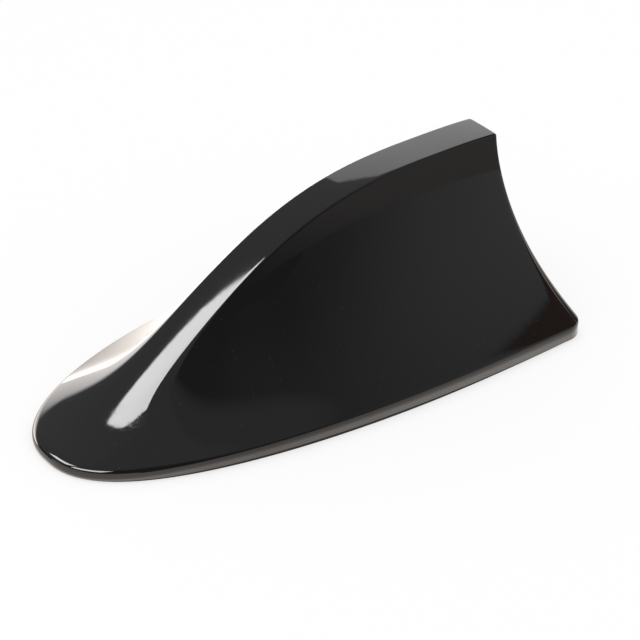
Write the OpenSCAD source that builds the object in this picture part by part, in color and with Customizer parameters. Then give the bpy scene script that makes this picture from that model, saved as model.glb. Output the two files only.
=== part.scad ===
// Shark fin roof aerial, stuck down by a foam pad: a glossy moulded cover over a base plate that
// carries the amplifier board, a loading coil and a sheet metal top plate.
// Lengths along the fin are measured from the tip of the nose, heights from the roof.

/* [Cover plan] */
// Length of the cover from the nose to the rear edge
cover_len = 165; // [155:1:175]
// Greatest width of the cover
cover_w = 84.4; // [78:0.2:90]
// Distance from the rear edge to the greatest width
widest_back = 43; // [35:0.5:55]
// How much narrower each side is at the rear edge than at the greatest width
rear_taper = 1.2; // [0.4:0.2:3]
// Roundness of the nose along the fin
nose_power = 1.98; // [1.8:0.02:2.3]
// Roundness of the sides across the fin
side_power = 2.46; // [2:0.02:2.8]
// Radius of the two rear corners of the lip
corner_r = 7; // [3:0.5:9]

/* [Cover crest] */
// Height of the crest at its highest point
crest_h = 56.7; // [52:0.1:62]
// Distance from the rear edge to the highest point of the crest
crest_peak_back = 29.5; // [23:0.5:40]
// How sharply the crest turns level at the top
crest_turn = 2.8; // [2.4:0.05:3.2]
// How hollow the crest line is as it leaves the nose
crest_rise = 2.25; // [1.9:0.05:2.5]
// Distance from the nose to the front end of the crest strip
crest_front = 8; // [6:0.5:12]
// Length over which the front end of the crest strip closes to a round
crest_round = 14; // [9:0.5:18]
// How bluntly that front end closes, 2 is round
crest_close = 3; // [2:0.1:4]
// Width of the crest strip at the front, before it spreads
crest_front_w = 12.4; // [11:0.2:14]
// Width of the crest strip at the tip
tip_w = 12.6; // [10.4:0.2:14]
// How far each side of the crest strip spreads out on the nose
nose_spread = 10; // [6:0.5:12]
// Length behind the nose over which the crest strip spreads out
spread_len = 68; // [55:1:80]
// Distance of the tip ahead of the rear edge
tip_back = 8.8; // [6:0.2:12]
// Rise of the middle of the crest strip over its edges at the tip
crest_crown = 0.1; // [0.05:0.05:0.6]
// Rise of the middle of the crest strip over its edges at the nose
nose_crown = 0.8; // [0.4:0.05:1.2]
// Length behind the nose over which the crest strip flattens
crown_fade = 65; // [50:1:90]
// Size of the rounded crest edge at the tip
edge_r_tip = 0.7; // [0.5:0.1:1.4]
// Size of the rounded crest edge at the nose
edge_r_nose = 4.6; // [3.2:0.1:5]
// Length behind the nose over which the crest edge sharpens
edge_fade = 57; // [45:1:80]

/* [Cover flanks] */
// Steepness of the flank where it leaves the crest, 0 is upright and 1 is the straight line
flank_top = 0.2; // [0.1:0.05:0.6]
// Flare of the flank where it meets the lip, 1 is the straight line
flank_foot = 1.95; // [1.5:0.05:2.3]
// Steepness of the rear face where it leaves the tip
tail_top = 0.05; // [0:0.05:0.4]
// Flare of the rear face where it meets the lip
tail_foot = 2.2; // [1.7:0.05:2.5]
// Slope of the nose where it leaves the crest strip
nose_top = 1.2; // [0.8:0.05:1.5]
// Slope of the nose where it meets the lip
nose_foot = 0.75; // [0.5:0.05:1.2]
// Length behind the nose over which the dome turns into the hollow flank
dome_len = 70; // [50:1:90]

/* [Cover lip and wall] */
// Height of the upright lip at the nose
lip_front_h = 2.7; // [2.5:0.1:3.3]
// Height of the upright lip at the rear edge
lip_rear_h = 4.1; // [3.6:0.1:5]
// Further height of the top of the lip in the middle, where it is arched with the rim
lip_arch = 1.4; // [0.9:0.1:1.8]
// Size of the rounded edge on top of the lip at the rear
lip_r = 0.45; // [0.3:0.05:1]
// Further size of that rounded edge at the nose
lip_r_nose = 1.5; // [0.8:0.1:1.6]
// Length behind the nose over which the rounded edge shrinks
lip_fade = 45; // [25:1:60]
// Gap from the roof to the rim at the nose and at the rear edge
rim_gap = 0.45; // [0.4:0.05:0.8]
// Further gap under the middle of the rim, which is arched to suit a roof
rim_arch = 0.95; // [0.6:0.05:1.4]
// Thickness of the cover wall
wall = 2; // [1.6:0.1:2.4]

/* [Seal and pad] */
// Distance of the rubber seal inside the outside of the lip
seal_inset = 0.6; // [0.3:0.1:1]
// Width of the rubber seal
seal_w = 4.2; // [3:0.1:5]
// Clearance between the rim and the seal
seal_clear = 0.12; // [0.08:0.02:0.2]
// Thickness of the adhesive foam pad
pad_t = 1.1; // [0.8:0.1:1.5]
// Distance of the pad inside the edge of the base plate
pad_inset = 1.2; // [0.6:0.1:2]

/* [Base plate] */
// Thickness of the base plate
plate_t = 2.2; // [1.8:0.1:2.6]
// Distance from the nose to the front of the base plate
plate_front = 17; // [16:0.5:20]
// Gap from the side of the cover to the side of the base plate
plate_side_gap = 8.5; // [7.5:0.5:10]
// Gap from the rear edge of the cover to the base plate
plate_rear_gap = 7; // [6:0.5:9]
// Height of the stiffening rim round the base plate
plate_rib_h = 1.6; // [1:0.1:2.2]
// Thickness of the stiffening rim and ribs
plate_rib_t = 1.6; // [1.2:0.1:2]
// Distance of the stiffening rim inside the edge of the base plate
plate_rib_inset = 3; // [2.5:0.1:4]
// Radius of the rear corners of the base plate
plate_corner_r = 8; // [6:0.5:10]

/* [Cover screws] */
// Distance from the nose to the front screws
screw_front_x = 39; // [37:0.5:42]
// Distance of each front screw from the middle
screw_front_y = 12; // [10:0.5:13]
// Distance from the rear edge to the rear screws
screw_rear_gap = 20; // [18:0.5:23]
// Distance of each rear screw from the middle
screw_rear_y = 24; // [20:0.5:26]
// Diameter of the screw shank
screw_d = 2.9; // [2.4:0.1:3.1]
// Diameter of the screw head
screw_head_d = 5.4; // [5:0.1:5.8]
// Height of the screw head
screw_head_h = 1.5; // [1.2:0.1:1.7]
// Length of the screw under its head
screw_len = 9.5; // [8:0.5:10.5]
// Diameter of the screw boss
boss_d = 7; // [6:0.2:7.6]
// Height of the plate's own pad round each cover screw
boss_pad_h = 1.3; // [1:0.1:1.8]
// Clearance all round a screw in its hole
screw_clear = 0.12; // [0.08:0.02:0.25]

/* [Lead outlet] */
// Distance of the lead outlet ahead of the circuit board
lead_gap = 11; // [9:0.5:12]
// Diameter of the hole for the lead in the grommet
lead_hole_d = 5.2; // [4:0.1:6]
// Diameter of the waist of the grommet
grommet_d = 10.5; // [9.6:0.1:11]
// Diameter of the flanges of the grommet
grommet_flange_d = 14; // [13:0.1:14.6]
// Thickness of each flange of the grommet
grommet_flange_t = 0.9; // [0.6:0.05:1]
// Clearance between the grommet and the base plate
grommet_clear = 0.1; // [0.05:0.05:0.2]

/* [Board] */
// Distance from the rear edge of the cover to the circuit board
board_rear_gap = 34; // [32:0.5:36]
// Length of the circuit board
board_len = 68; // [66:0.5:70]
// Width of the circuit board
board_w = 40; // [38:0.5:42]
// Thickness of the circuit board
board_t = 1.6; // [1:0.1:2]
// Height of the posts under the circuit board
post_h = 4.5; // [3.5:0.1:5]
// Diameter of the posts under the circuit board
post_d = 5.6; // [5:0.1:6.4]
// Distance of the board screws from the edges of the board
board_screw_inset = 3.8; // [3.4:0.1:4.4]
// Diameter of the board screws
board_screw_d = 2.2; // [1.8:0.1:2.5]
// Diameter of the heads of the board screws
board_head_d = 4.2; // [3.8:0.1:4.8]
// Height of the heads of the board screws
board_head_h = 1.4; // [1:0.1:1.7]
// Length of the board screws under their heads
board_screw_len = 5.5; // [4.5:0.1:6.5]

/* [Screening can] */
// Distance from the front edge of the board to the can
can_gap = 9; // [8.5:0.5:10]
// Length of the can
can_len = 30; // [28:0.5:31]
// Width of the can
can_w = 24; // [22:0.5:26]
// Height of the can's frame
can_h = 4.2; // [3.8:0.1:5]
// Thickness of the can's sheet metal
can_t = 0.3; // [0.2:0.05:0.4]
// Clearance between the lid and the frame
lid_clear = 0.08; // [0.05:0.01:0.15]
// Depth of the skirt of the lid
lid_skirt = 2.4; // [1.8:0.1:3]
// Diameter of the tuning holes in the lid
lid_hole_d = 2.4; // [1.6:0.1:3]
// Spacing of the tuning holes in the lid
lid_hole_pitch = 8; // [6:0.5:9]

/* [Small parts] */
// Length of the amplifier chip's body
chip_len = 4.9; // [4.5:0.1:5.3]
// Width of the amplifier chip's body
chip_w = 3.9; // [3.5:0.1:4.3]
// Height of a chip's body over the board
chip_h = 1.5; // [1.2:0.1:1.8]
// Length of the voltage regulator's body, across the board
regulator_len = 6.5; // [6:0.1:7]
// Width of the voltage regulator's body
regulator_w = 3.5; // [3:0.1:3.8]
// Thickness of the leads of the chip and the regulator
lead_t = 0.25; // [0.15:0.05:0.35]
// Reach of those leads beyond the body
lead_reach = 1; // [0.8:0.1:1.3]
// Length of a chip capacitor, resistor or inductor
chip_part_len = 2; // [1.6:0.1:2.2]
// Width of a chip capacitor, resistor or inductor
chip_part_w = 1.25; // [1:0.05:1.4]
// Spacing of the chip capacitors, resistors and inductors
chip_pitch = 3.4; // [3.2:0.1:3.6]
// Diameter of the smoothing capacitor
smoother_d = 6.3; // [5:0.1:7]
// Height of the smoothing capacitor
smoother_h = 7.7; // [5.8:0.1:8.5]
// Distance of the smoothing capacitor and the choke from the middle of the board
side_part_y = 12.4; // [11.5:0.1:13]
// Gap behind the can to the middle of the regulator, the smoothing capacitor and the choke
side_part_gap = 5.6; // [5:0.1:6]
// Diameter of the filter choke
choke_d = 7.8; // [6.8:0.1:8.4]
// Height of the filter choke
choke_h = 4.5; // [3.5:0.1:5]

/* [Coil and top plate] */
// Distance from the front edge of the board to the coil
coil_gap = 56; // [54:0.5:57]
// Mean diameter of the coil
coil_d = 7.8; // [7.4:0.1:8.2]
// Diameter of the coil's wire
wire_d = 0.9; // [0.7:0.05:1]
// Number of turns of the coil
coil_turns = 13; // [10:1:15]
// Clearance at each end of the coil
coil_end_clear = 0.2; // [0.1:0.05:0.3]
// Diameter of the stem of the mast inside the coil
mast_d = 6; // [5.6:0.1:6.2]
// Diameter of the foot of the mast
mast_foot_d = 11; // [10.6:0.1:12]
// Height of the foot of the mast
mast_foot_h = 2; // [1.5:0.1:2.5]
// Thickness of the coil's terminal washer
terminal_t = 0.5; // [0.3:0.05:0.8]
// Gap between the inside of the cover and the top plate
top_gap = 1.6; // [1.2:0.1:2]
// Thickness of the top plate
top_t = 0.6; // [0.4:0.05:0.8]
// Length of the top plate ahead of the coil
top_ahead = 22; // [16:0.5:26]
// Length of the top plate behind the coil
top_behind = 24; // [18:0.5:28]
// Depth of the folded sides of the top plate
top_skirt = 9; // [6:0.5:11]
// Diameter of the screw that holds the top plate
top_screw_d = 1.6; // [1.2:0.1:1.8]
// Diameter of the head of that screw
top_head_d = 3.2; // [2.8:0.1:3.4]
// Height of the head of that screw
top_head_h = 0.9; // [0.6:0.1:1.1]
// Length of that screw under its head
top_screw_len = 6; // [4:0.5:8]

/* [Sockets] */
// Width of the coaxial socket's body
coax_w = 5; // [4:0.1:6]
// Height of the coaxial socket's body
coax_h = 4; // [3.5:0.1:5]
// Diameter of the coaxial socket's collar
coax_d = 3.4; // [3:0.1:3.8]
// Reach of the coaxial socket's collar ahead of its body
coax_reach = 2.4; // [1.5:0.1:3]
// Distance of each socket from the middle of the board
socket_y = 6; // [5:0.1:8]
// Width of the power socket
power_w = 7.4; // [6:0.1:8]
// Depth of the power socket
power_len = 5; // [4:0.1:5.5]
// Height of the power socket
power_h = 5.4; // [4:0.1:6]
// Thickness of the power socket's walls
power_wall = 0.8; // [0.6:0.1:1]

/* [Hidden] */
$fn = 48;
eps = 0.01;

// Points round half of each ring of the cover: nose and side, straight side, corner, rear edge
nose_steps = 20;
side_steps = 6;
corner_steps = 4;
rear_steps = 4;
// Rings down the flank, outside and inside, and round each rounded edge
flank_rings = 7;
inner_rings = 5;
edge_rings = 3;
// Points for one turn of the coil and round its wire, and stations along the top plate
coil_steps = 14;
coil_sides = 6;
top_stations = 10;

side_end = nose_steps + side_steps;
corner_end = side_end + corner_steps;
half_end = corner_end + rear_steps;
ring_size = 2 * half_end;
tip_x = cover_len - tip_back;
widest_x = cover_len - widest_back;
crest_peak_x = cover_len - crest_peak_back;
nose_lip_z = rim_gap + lip_front_h;
plate_top = pad_t + plate_t;
boss_seat = plate_top + boss_pad_h;
board_z = plate_top + post_h;
board_top = board_z + board_t;
board_front = cover_len - board_rear_gap - board_len;
lead_x = board_front - lead_gap;
can_front = board_front + can_gap;
can_mid = can_front + can_len / 2;
side_part_x = can_front + can_len + side_part_gap;
coil_x = board_front + coil_gap;
rear_screw_x = cover_len - screw_rear_gap;
head_recess = screw_head_h + 0.3;

cover_screw_places = [
    for (side = [-1, 1]) each [
        [screw_front_x, side * screw_front_y],
        [rear_screw_x, side * screw_rear_y]
    ]
];
board_screw_places = [
    for (side = [-1, 1], end = [board_screw_inset, board_len - board_screw_inset])
        [board_front + end, side * (board_w / 2 - board_screw_inset)]
];

function smooth(v) = let (s = min(1, max(0, v))) s * s * (3 - 2 * s);
function mix(a, b, s) = a + (b - a) * s;

// Height of the rim and of the top of the lip over the roof, both arched
function bow(x) = max(0, 1 - pow(2 * x / cover_len - 1, 2));
function rim_z(x) = rim_gap + rim_arch * bow(x);
function lip_z(x) = rim_gap + mix(lip_front_h, lip_rear_h, x / cover_len) + lip_arch * bow(x);

// Height of the crest line
function crest_z(x) = nose_lip_z
    + (crest_h - nose_lip_z) * pow(1 - pow(abs(1 - x / crest_peak_x), crest_turn), crest_rise);

// Half width of the crest strip, and the same closed to a round at its front end
function strip_y(x) = mix(crest_front_w, tip_w, x / tip_x) / 2
    + nose_spread * pow(max(0, 1 - x / spread_len), 2);
function crest_y(x, inset) = let (v = min(1, max(0, (x - crest_front - inset) / crest_round)))
    (strip_y(x) - inset) * sqrt(1 - pow(1 - v, crest_close));

// Height of the crest strip, which is crowned across
function strip_z(p, drop) = let (crown = mix(nose_crown, crest_crown, smooth(p[0] / crown_fade)))
    crest_z(p[0]) + crown * (1 - pow(p[1] / strip_y(p[0]), 2)) - drop;

// Half width of a plan shape of the cover's form
function plan_y(x, len, half_w, wide) = x <= wide
    ? half_w * pow(1 - pow(max(0, 1 - x / wide), nose_power), 1 / side_power)
    : half_w - rear_taper * pow((x - wide) / (len - wide), 2);

// Half of such a shape: round the nose, along the side, round the corner, to the middle of the rear
function half_plan(start, len, half_w, wide, r) = let (
    end_y = plan_y(len - r, len, half_w, wide)
) concat(
    [for (i = [0:nose_steps]) let (x = wide * (1 - cos(90 * i / nose_steps)))
        [start + x, plan_y(x, len, half_w, wide)]],
    [for (i = [1:side_steps]) let (x = mix(wide, len - r, i / side_steps))
        [start + x, plan_y(x, len, half_w, wide)]],
    [for (i = [1:corner_steps]) let (a = 90 * i / corner_steps)
        [start + len - r + r * sin(a), end_y - r + r * cos(a)]],
    [for (i = [1:rear_steps]) [start + len, (end_y - r) * (1 - i / rear_steps)]]
);

// Half of the cover's plan, moved inwards
function cover_plan(inset) = half_plan(inset, cover_len - 2 * inset, cover_w / 2 - inset,
    widest_x - inset, max(0.8, corner_r - inset));

plan = cover_plan(0);
plate_plan = half_plan(plate_front, cover_len - plate_front - plate_rear_gap,
    cover_w / 2 - plate_side_gap, widest_x - plate_front, plate_corner_r);

// Both halves of a plan or of a ring
function both(half) = concat(half, [for (i = [len(half) - 2:-1:1])
    let (p = half[i]) len(p) == 2 ? [p[0], -p[1]] : [p[0], -p[1], p[2]]]);

// Point of the crest's outline that belongs to point i of the plan
function crest_point(i, inset) = let (
    rear = tip_x - inset,
    end_x = rear - edge_r_tip,
    end_y = crest_y(end_x, inset) - edge_r_tip,
    x = mix(crest_front + inset, end_x, plan[i][0] / (cover_len - corner_r)),
    a = 90 * (i - side_end) / corner_steps
) i <= side_end ? [x, crest_y(x, inset)]
    : i <= corner_end ? [end_x + edge_r_tip * sin(a), end_y + edge_r_tip * cos(a)]
    : [rear, end_y * (1 - (i - corner_end) / rear_steps)];

// How far out the flank is for how far down it is, between its slopes at the crest and the lip
function out_share(v, top, foot) = ((top + foot - 2) * v + 3 - 2 * top - foot) * v * v + top * v;

// Slopes at the crest and the lip for point i of the plan: nose, flank or rear face
function slope(i, nose, flank, tail) =
    mix(mix(nose, flank, smooth(plan[i][0] / dome_len)), tail, smooth((i - side_end) / corner_steps));
function top_slope(i) = slope(i, nose_top, flank_top, tail_top);
function foot_slope(i) = slope(i, nose_foot, flank_foot, tail_foot);

// Point of the flank at share v of the way down, on a skin that lies inset below the outside
function flank_point(i, v, inset, foot) = let (
    c = crest_point(i, inset),
    g = out_share(v, top_slope(i), foot_slope(i))
) [
    mix(c[0], foot[i][0], g),
    mix(c[1], foot[i][1], g),
    mix(strip_z(c, inset), lip_z(plan[i][0]) - inset, v)
];

// Rounded edge between two points with the sharp corner as its control point
function round_point(a, corner, b, s) =
    (1 - s) * (1 - s) * a + 2 * s * (1 - s) * corner + s * s * b;

// Size of the rounded crest edge and of the rounded lip edge at point i
function edge_r(i) = i > side_end ? edge_r_tip
    : mix(edge_r_nose, edge_r_tip, smooth(plan[i][0] / edge_fade));
function lip_edge_r(i) = mix(lip_r + lip_r_nose, lip_r, smooth(plan[i][0] / lip_fade));

// Shares of the way down the flank where the two rounded edges end
function flank_fall(i) = strip_z(crest_point(i, 0), 0) - lip_z(plan[i][0]);
function edge_share(i) = min(0.42, edge_r(i) / flank_fall(i));
function lip_share(i) = let (run = norm(plan[i] - crest_point(i, 0)) * foot_slope(i))
    1 - min(0.3, lip_edge_r(i) / norm([run, flank_fall(i)]));

function crest_edge(i, s) = let (
    a = crest_point(i, edge_r(i)),
    c = crest_point(i, 0)
) round_point([a[0], a[1], strip_z(a, 0)], [c[0], c[1], strip_z(c, 0)],
    flank_point(i, edge_share(i), 0, plan), s);
function lip_edge(i, s) = let (
    b = plan[i],
    z = lip_z(b[0])
) round_point(flank_point(i, lip_share(i), 0, plan), [b[0], b[1], z],
    [b[0], b[1], z - lip_edge_r(i)], s);

// Rings of the outside, from the crest down to the rim
outer_rings = concat(
    [for (k = [0:edge_rings]) [for (i = [0:half_end]) crest_edge(i, k / edge_rings)]],
    [for (k = [1:flank_rings - 1]) [for (i = [0:half_end])
        flank_point(i, mix(edge_share(i), lip_share(i), k / flank_rings), 0, plan)]],
    [for (k = [0:edge_rings]) [for (i = [0:half_end]) lip_edge(i, k / edge_rings)]],
    [[for (i = [0:half_end]) [plan[i][0], plan[i][1], rim_z(plan[i][0])]]]
);

// Rings of a skin inside the outside, from the crest down to the inside of the lip
function skin_rings(inset) = let (foot = cover_plan(inset))
    [for (k = [0:inner_rings]) [for (i = [0:half_end]) flank_point(i, k / inner_rings, inset, foot)]];

inner_wall = let (foot = cover_plan(wall)) concat(
    [[for (i = [0:half_end]) [foot[i][0], foot[i][1], rim_z(plan[i][0])]]],
    let (up = skin_rings(wall)) [for (k = [inner_rings:-1:0]) up[k]]
);

// Quads between rings that lie one after the other, as triangles
function band_faces(rings) = [
    for (k = [0:rings - 2], i = [0:ring_size - 1]) let (
        j = (i + 1) % ring_size,
        a = k * ring_size + i,
        b = k * ring_size + j,
        c = a + ring_size,
        d = b + ring_size
    ) each [[a, c, d], [a, d, b]]
];

// Points inside a crest ring, in rows across the strip
function cap_points(ring, drop) = [
    for (i = [1:corner_end - 1], j = [1:2 * rear_steps - 1]) let (
        p = [ring[i][0], ring[i][1] * (1 - j / rear_steps)]
    ) [p[0], p[1], strip_z(p, drop)]
];

// Number of the point at row i and place j of a crest cap
function cap_index(i, j, ring, extra) =
    i == 0 ? ring
    : i == corner_end ? ring + corner_end + j
    : j == 0 ? ring + i
    : j == 2 * rear_steps ? ring + ring_size - i
    : extra + (i - 1) * (2 * rear_steps - 1) + j - 1;

function turned(face, over) = over ? [face[0], face[2], face[1]] : face;
function cap_faces(ring, extra, over) = [
    for (i = [0:corner_end - 1], j = [0:2 * rear_steps - 1]) let (
        a = cap_index(i, j, ring, extra),
        b = cap_index(i + 1, j, ring, extra),
        c = cap_index(i + 1, j + 1, ring, extra),
        d = cap_index(i, j + 1, ring, extra)
    ) each i == 0 ? [turned([a, b, c], over)] : [turned([a, b, c], over), turned([a, c, d], over)]
];

// The cover's wall: outside, rim and inside as one closed skin
module cover_shell() {
    rings = concat(outer_rings, inner_wall);
    last = len(rings) - 1;
    points = [for (ring = rings) each both(ring)];
    outer_cap = cap_points(rings[0], 0);
    inner_cap = cap_points(rings[last], wall);
    first_cap = len(points);
    polyhedron(
        concat(points, outer_cap, inner_cap),
        concat(
            band_faces(len(rings)),
            cap_faces(0, first_cap, false),
            cap_faces(last * ring_size, first_cap + len(outer_cap), true)
        )
    );
}

// Solid inside a skin, down to a flat underside
module skin_solid(inset) {
    skin = skin_rings(inset);
    foot = cover_plan(inset);
    rings = concat(skin, [[for (p = foot) [p[0], p[1], 0]]]);
    points = [for (ring = rings) each both(ring)];
    polyhedron(
        concat(points, cap_points(rings[0], inset)),
        concat(
            band_faces(len(rings)),
            cap_faces(0, len(points), false),
            [[for (i = [0:ring_size - 1]) len(points) - 1 - i]]
        )
    );
}

module at_places(places, z) {
    for (p = places)
        translate([p[0], p[1], z])
            children();
}

// Moves the origin from the nose to the middle of the fin
module centred() {
    translate([-cover_len / 2, 0, 0])
        children();
}

// Glossy moulded cover with four screw bosses inside
module cover() {
    pilot_h = screw_len - (boss_seat - pad_t - head_recess) + 1;
    color("#17171a")
        centred()
            difference() {
                union() {
                    cover_shell();
                    intersection() {
                        at_places(cover_screw_places, boss_seat)
                            cylinder(d = boss_d, h = crest_h);
                        skin_solid(wall / 2);
                    }
                }
                at_places(cover_screw_places, boss_seat - 1)
                    cylinder(d = screw_d + 2 * screw_clear, h = pilot_h + 1);
            }
}

// Rubber seal under the rim, flat on the roof and arched on top
module foot_seal() {
    outer = cover_plan(seal_inset);
    inner = cover_plan(seal_inset + seal_w);
    rings = [
        [for (p = outer) [p[0], p[1], rim_z(p[0]) - seal_clear]],
        [for (p = outer) [p[0], p[1], 0]],
        [for (p = inner) [p[0], p[1], 0]],
        [for (p = inner) [p[0], p[1], rim_z(p[0]) - seal_clear]],
    ];
    points = [for (ring = rings) each both(ring)];
    count = len(points);
    closing = [for (f = band_faces(5)) if (max(f) >= count) [for (i = f) i % count]];
    color("#202020")
        centred()
            polyhedron(points, concat(band_faces(4), closing));
}

// Moulded base plate: cover screw pads, board posts, ribs and the hole for the grommet
module base_plate() {
    hole_d = grommet_d + 2 * grommet_clear;
    color("#262628")
        centred()
            difference() {
                union() {
                    translate([0, 0, pad_t])
                        linear_extrude(plate_t)
                            polygon(both(plate_plan));
                    translate([0, 0, plate_top])
                        linear_extrude(plate_rib_h)
                            difference() {
                                offset(delta = -plate_rib_inset)
                                    polygon(both(plate_plan));
                                offset(delta = -plate_rib_inset - plate_rib_t)
                                    polygon(both(plate_plan));
                            }
                    for (side = [-1, 1])
                        translate([board_screw_places[0][0], side * board_screw_places[3][1], plate_top])
                            translate([0, -plate_rib_t / 2, 0])
                                cube([board_len - 2 * board_screw_inset, plate_rib_t, plate_rib_h]);
                    at_places(cover_screw_places, plate_top)
                        cylinder(d = boss_d + 1, h = boss_pad_h);
                    at_places(board_screw_places, plate_top)
                        cylinder(d = post_d, h = post_h);
                }
                at_places(cover_screw_places, pad_t - 1) {
                    cylinder(d = screw_d + 2 * screw_clear, h = boss_seat);
                    cylinder(d = screw_head_d + 2 * screw_clear, h = head_recess + 1);
                }
                at_places(board_screw_places, board_z - board_screw_len + board_t - 0.4)
                    cylinder(d = board_screw_d + 2 * screw_clear, h = board_screw_len);
                translate([lead_x, 0, 0])
                    cylinder(d = hole_d, h = plate_top + plate_rib_h);
            }
}

// Adhesive foam pad, cut out round the grommet
module adhesive_pad() {
    color("#3c3c3e")
        centred()
            difference() {
                linear_extrude(pad_t)
                    offset(delta = -pad_inset)
                        polygon(both(plate_plan));
                translate([lead_x, 0, -1])
                    cylinder(d = grommet_flange_d + 1, h = pad_t + 2);
            }
}

// Rubber grommet with a flange on each side of the base plate
module lead_grommet() {
    waist = plate_t + 2 * grommet_clear;
    color("#141414")
        centred()
            translate([lead_x, 0, pad_t - grommet_clear - grommet_flange_t])
                rotate_extrude()
                    polygon([
                        [lead_hole_d / 2, 0],
                        [grommet_flange_d / 2, 0],
                        [grommet_flange_d / 2, grommet_flange_t],
                        [grommet_d / 2, grommet_flange_t],
                        [grommet_d / 2, grommet_flange_t + waist],
                        [grommet_flange_d / 2, grommet_flange_t + waist],
                        [grommet_d / 2, 2 * grommet_flange_t + waist],
                        [lead_hole_d / 2, 2 * grommet_flange_t + waist]
                    ]);
}

// Self-tapping screws that hold the cover to the base plate, driven from below
module cover_screws() {
    color("#b8babd")
        centred()
            at_places(cover_screw_places, pad_t + head_recess)
                tapping_screw(screw_d, screw_len, screw_head_d, screw_head_h);
}

// Screw with its shank upwards and its head below the origin
module tapping_screw(d, length, head_d, head_h) {
    difference() {
        union() {
            cylinder(d = d, h = length - d / 2);
            translate([0, 0, length - d / 2])
                cylinder(d1 = d, d2 = d / 4, h = d / 2);
            translate([0, 0, -head_h])
                cylinder(d1 = head_d - head_h / 2, d2 = head_d, h = head_h);
        }
        translate([0, 0, -head_h - eps])
            linear_extrude(head_h * 0.6)
                for (turn = [0, 90])
                    rotate(turn)
                        square([head_d * 0.55, head_d / 8], center = true);
    }
}

module circuit_board() {
    color("#1f5a33")
        centred()
            translate([board_front, -board_w / 2, board_z])
                difference() {
                    cube([board_len, board_w, board_t]);
                    translate([-board_front, board_w / 2, -1])
                        at_places(board_screw_places, 0)
                            cylinder(d = board_screw_d + 4 * screw_clear, h = board_t + 2);
                }
}

module board_screws() {
    color("#c4c6c8")
        centred()
            at_places(board_screw_places, board_top)
                mirror([0, 0, 1])
                    tapping_screw(board_screw_d, board_screw_len, board_head_d, board_head_h);
}

// Rectangular tube standing on the board
module box_wall(length, width, height, t) {
    difference() {
        translate([-length / 2, -width / 2, 0])
            cube([length, width, height]);
        translate([t - length / 2, t - width / 2, -1])
            cube([length - 2 * t, width - 2 * t, height + 2]);
    }
}

// Folded fence of the screening can, with a bar across its middle
module shield_frame() {
    color("#c9ccce")
        centred()
            translate([can_mid, 0, board_top]) {
                box_wall(can_len, can_w, can_h, can_t);
                translate([-can_w / 12, -can_w / 2 + can_t / 2, can_h - can_t])
                    cube([can_w / 6, can_w - can_t, can_t]);
            }
}

// Pressed lid of the screening can, with tuning holes
module shield_lid() {
    grow = 2 * (can_t + lid_clear);
    color("#d4d6d8")
        centred()
            translate([can_mid, 0, board_top + can_h - lid_skirt]) {
                box_wall(can_len + grow, can_w + grow, lid_skirt + lid_clear, can_t);
                translate([0, 0, lid_skirt + lid_clear])
                    difference() {
                        translate([-(can_len + grow) / 2, -(can_w + grow) / 2, 0])
                            cube([can_len + grow, can_w + grow, can_t]);
                        for (i = [-1, 1], j = [-1, 1])
                            translate([i * lid_hole_pitch, j * lid_hole_pitch / 2, -1])
                                cylinder(d = lid_hole_d, h = can_t + 2);
                    }
            }
}

// Chip body with bent leads along two sides
module leaded_chip(length, width, count, pitch, lead_w) {
    translate([-length / 2, -width / 2, lead_t])
        cube([length, width, chip_h - lead_t]);
    for (side = [-1, 1], i = [0:count - 1])
        translate([(i - (count - 1) / 2) * pitch - lead_w / 2, side * (width / 2 + lead_reach / 2), 0]) {
            translate([0, -lead_reach / 2, 0])
                cube([lead_w, lead_reach, lead_t]);
            translate([0, side > 0 ? -lead_reach / 2 : lead_reach / 2 - lead_t, 0])
                cube([lead_w, lead_t, chip_h / 2]);
        }
}

module amplifier_chip() {
    color("#1c1c1e")
        centred()
            translate([can_mid, -can_w / 5, board_top])
                leaded_chip(chip_len, chip_w, 4, chip_len / 4, chip_len / 12);
}

module voltage_regulator() {
    color("#1c1c1e")
        centred()
            translate([side_part_x, 0, board_top])
                rotate(90)
                    leaded_chip(regulator_len, regulator_w, 3, regulator_len / 3, regulator_len / 8);
}

// Row of small chip parts across the board, starting at a place
module chip_row(x, y, count, height) {
    for (i = [0:count - 1])
        translate([x - chip_part_len / 2 + i * chip_pitch, y - chip_part_w / 2, board_top])
            cube([chip_part_len, chip_part_w, height]);
}

module chip_capacitors() {
    color("#b08d5a")
        centred() {
            chip_row(can_mid - 2.5 * chip_pitch, can_w / 4, 6, chip_part_w);
            chip_row(side_part_x - chip_pitch / 2, -side_part_y + choke_d / 2 + chip_part_w, 1, chip_part_w);
        }
}

module chip_resistors() {
    color("#222326")
        centred()
            chip_row(can_mid - 2 * chip_pitch, can_w / 4 - chip_pitch, 5, chip_part_w / 2);
}

module chip_inductors() {
    color("#3a3d44")
        centred()
            for (side = [-1, 1])
                chip_row(coil_x - chip_pitch, side * (mast_foot_d / 2 + 2 * chip_part_w), 2, chip_part_w);
}

// Aluminium can capacitor on its moulded foot
module smoothing_capacitor() {
    foot_t = 1;
    color("#c8cacc")
        centred()
            translate([side_part_x, side_part_y, board_top]) {
                translate([-smoother_d / 2 - 0.1, -smoother_d / 2 - 0.1, 0])
                    cube([smoother_d + 0.2, smoother_d + 0.2, foot_t]);
                translate([0, 0, foot_t])
                    rotate_extrude()
                        polygon([
                            [0, 0], [smoother_d / 2, 0], [smoother_d / 2, 0.6],
                            [smoother_d / 2 - 0.4, 0.9], [smoother_d / 2, 1.2],
                            [smoother_d / 2, smoother_h - foot_t - 0.3],
                            [smoother_d / 2 - 0.3, smoother_h - foot_t], [0, smoother_h - foot_t]
                        ]);
            }
}

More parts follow.
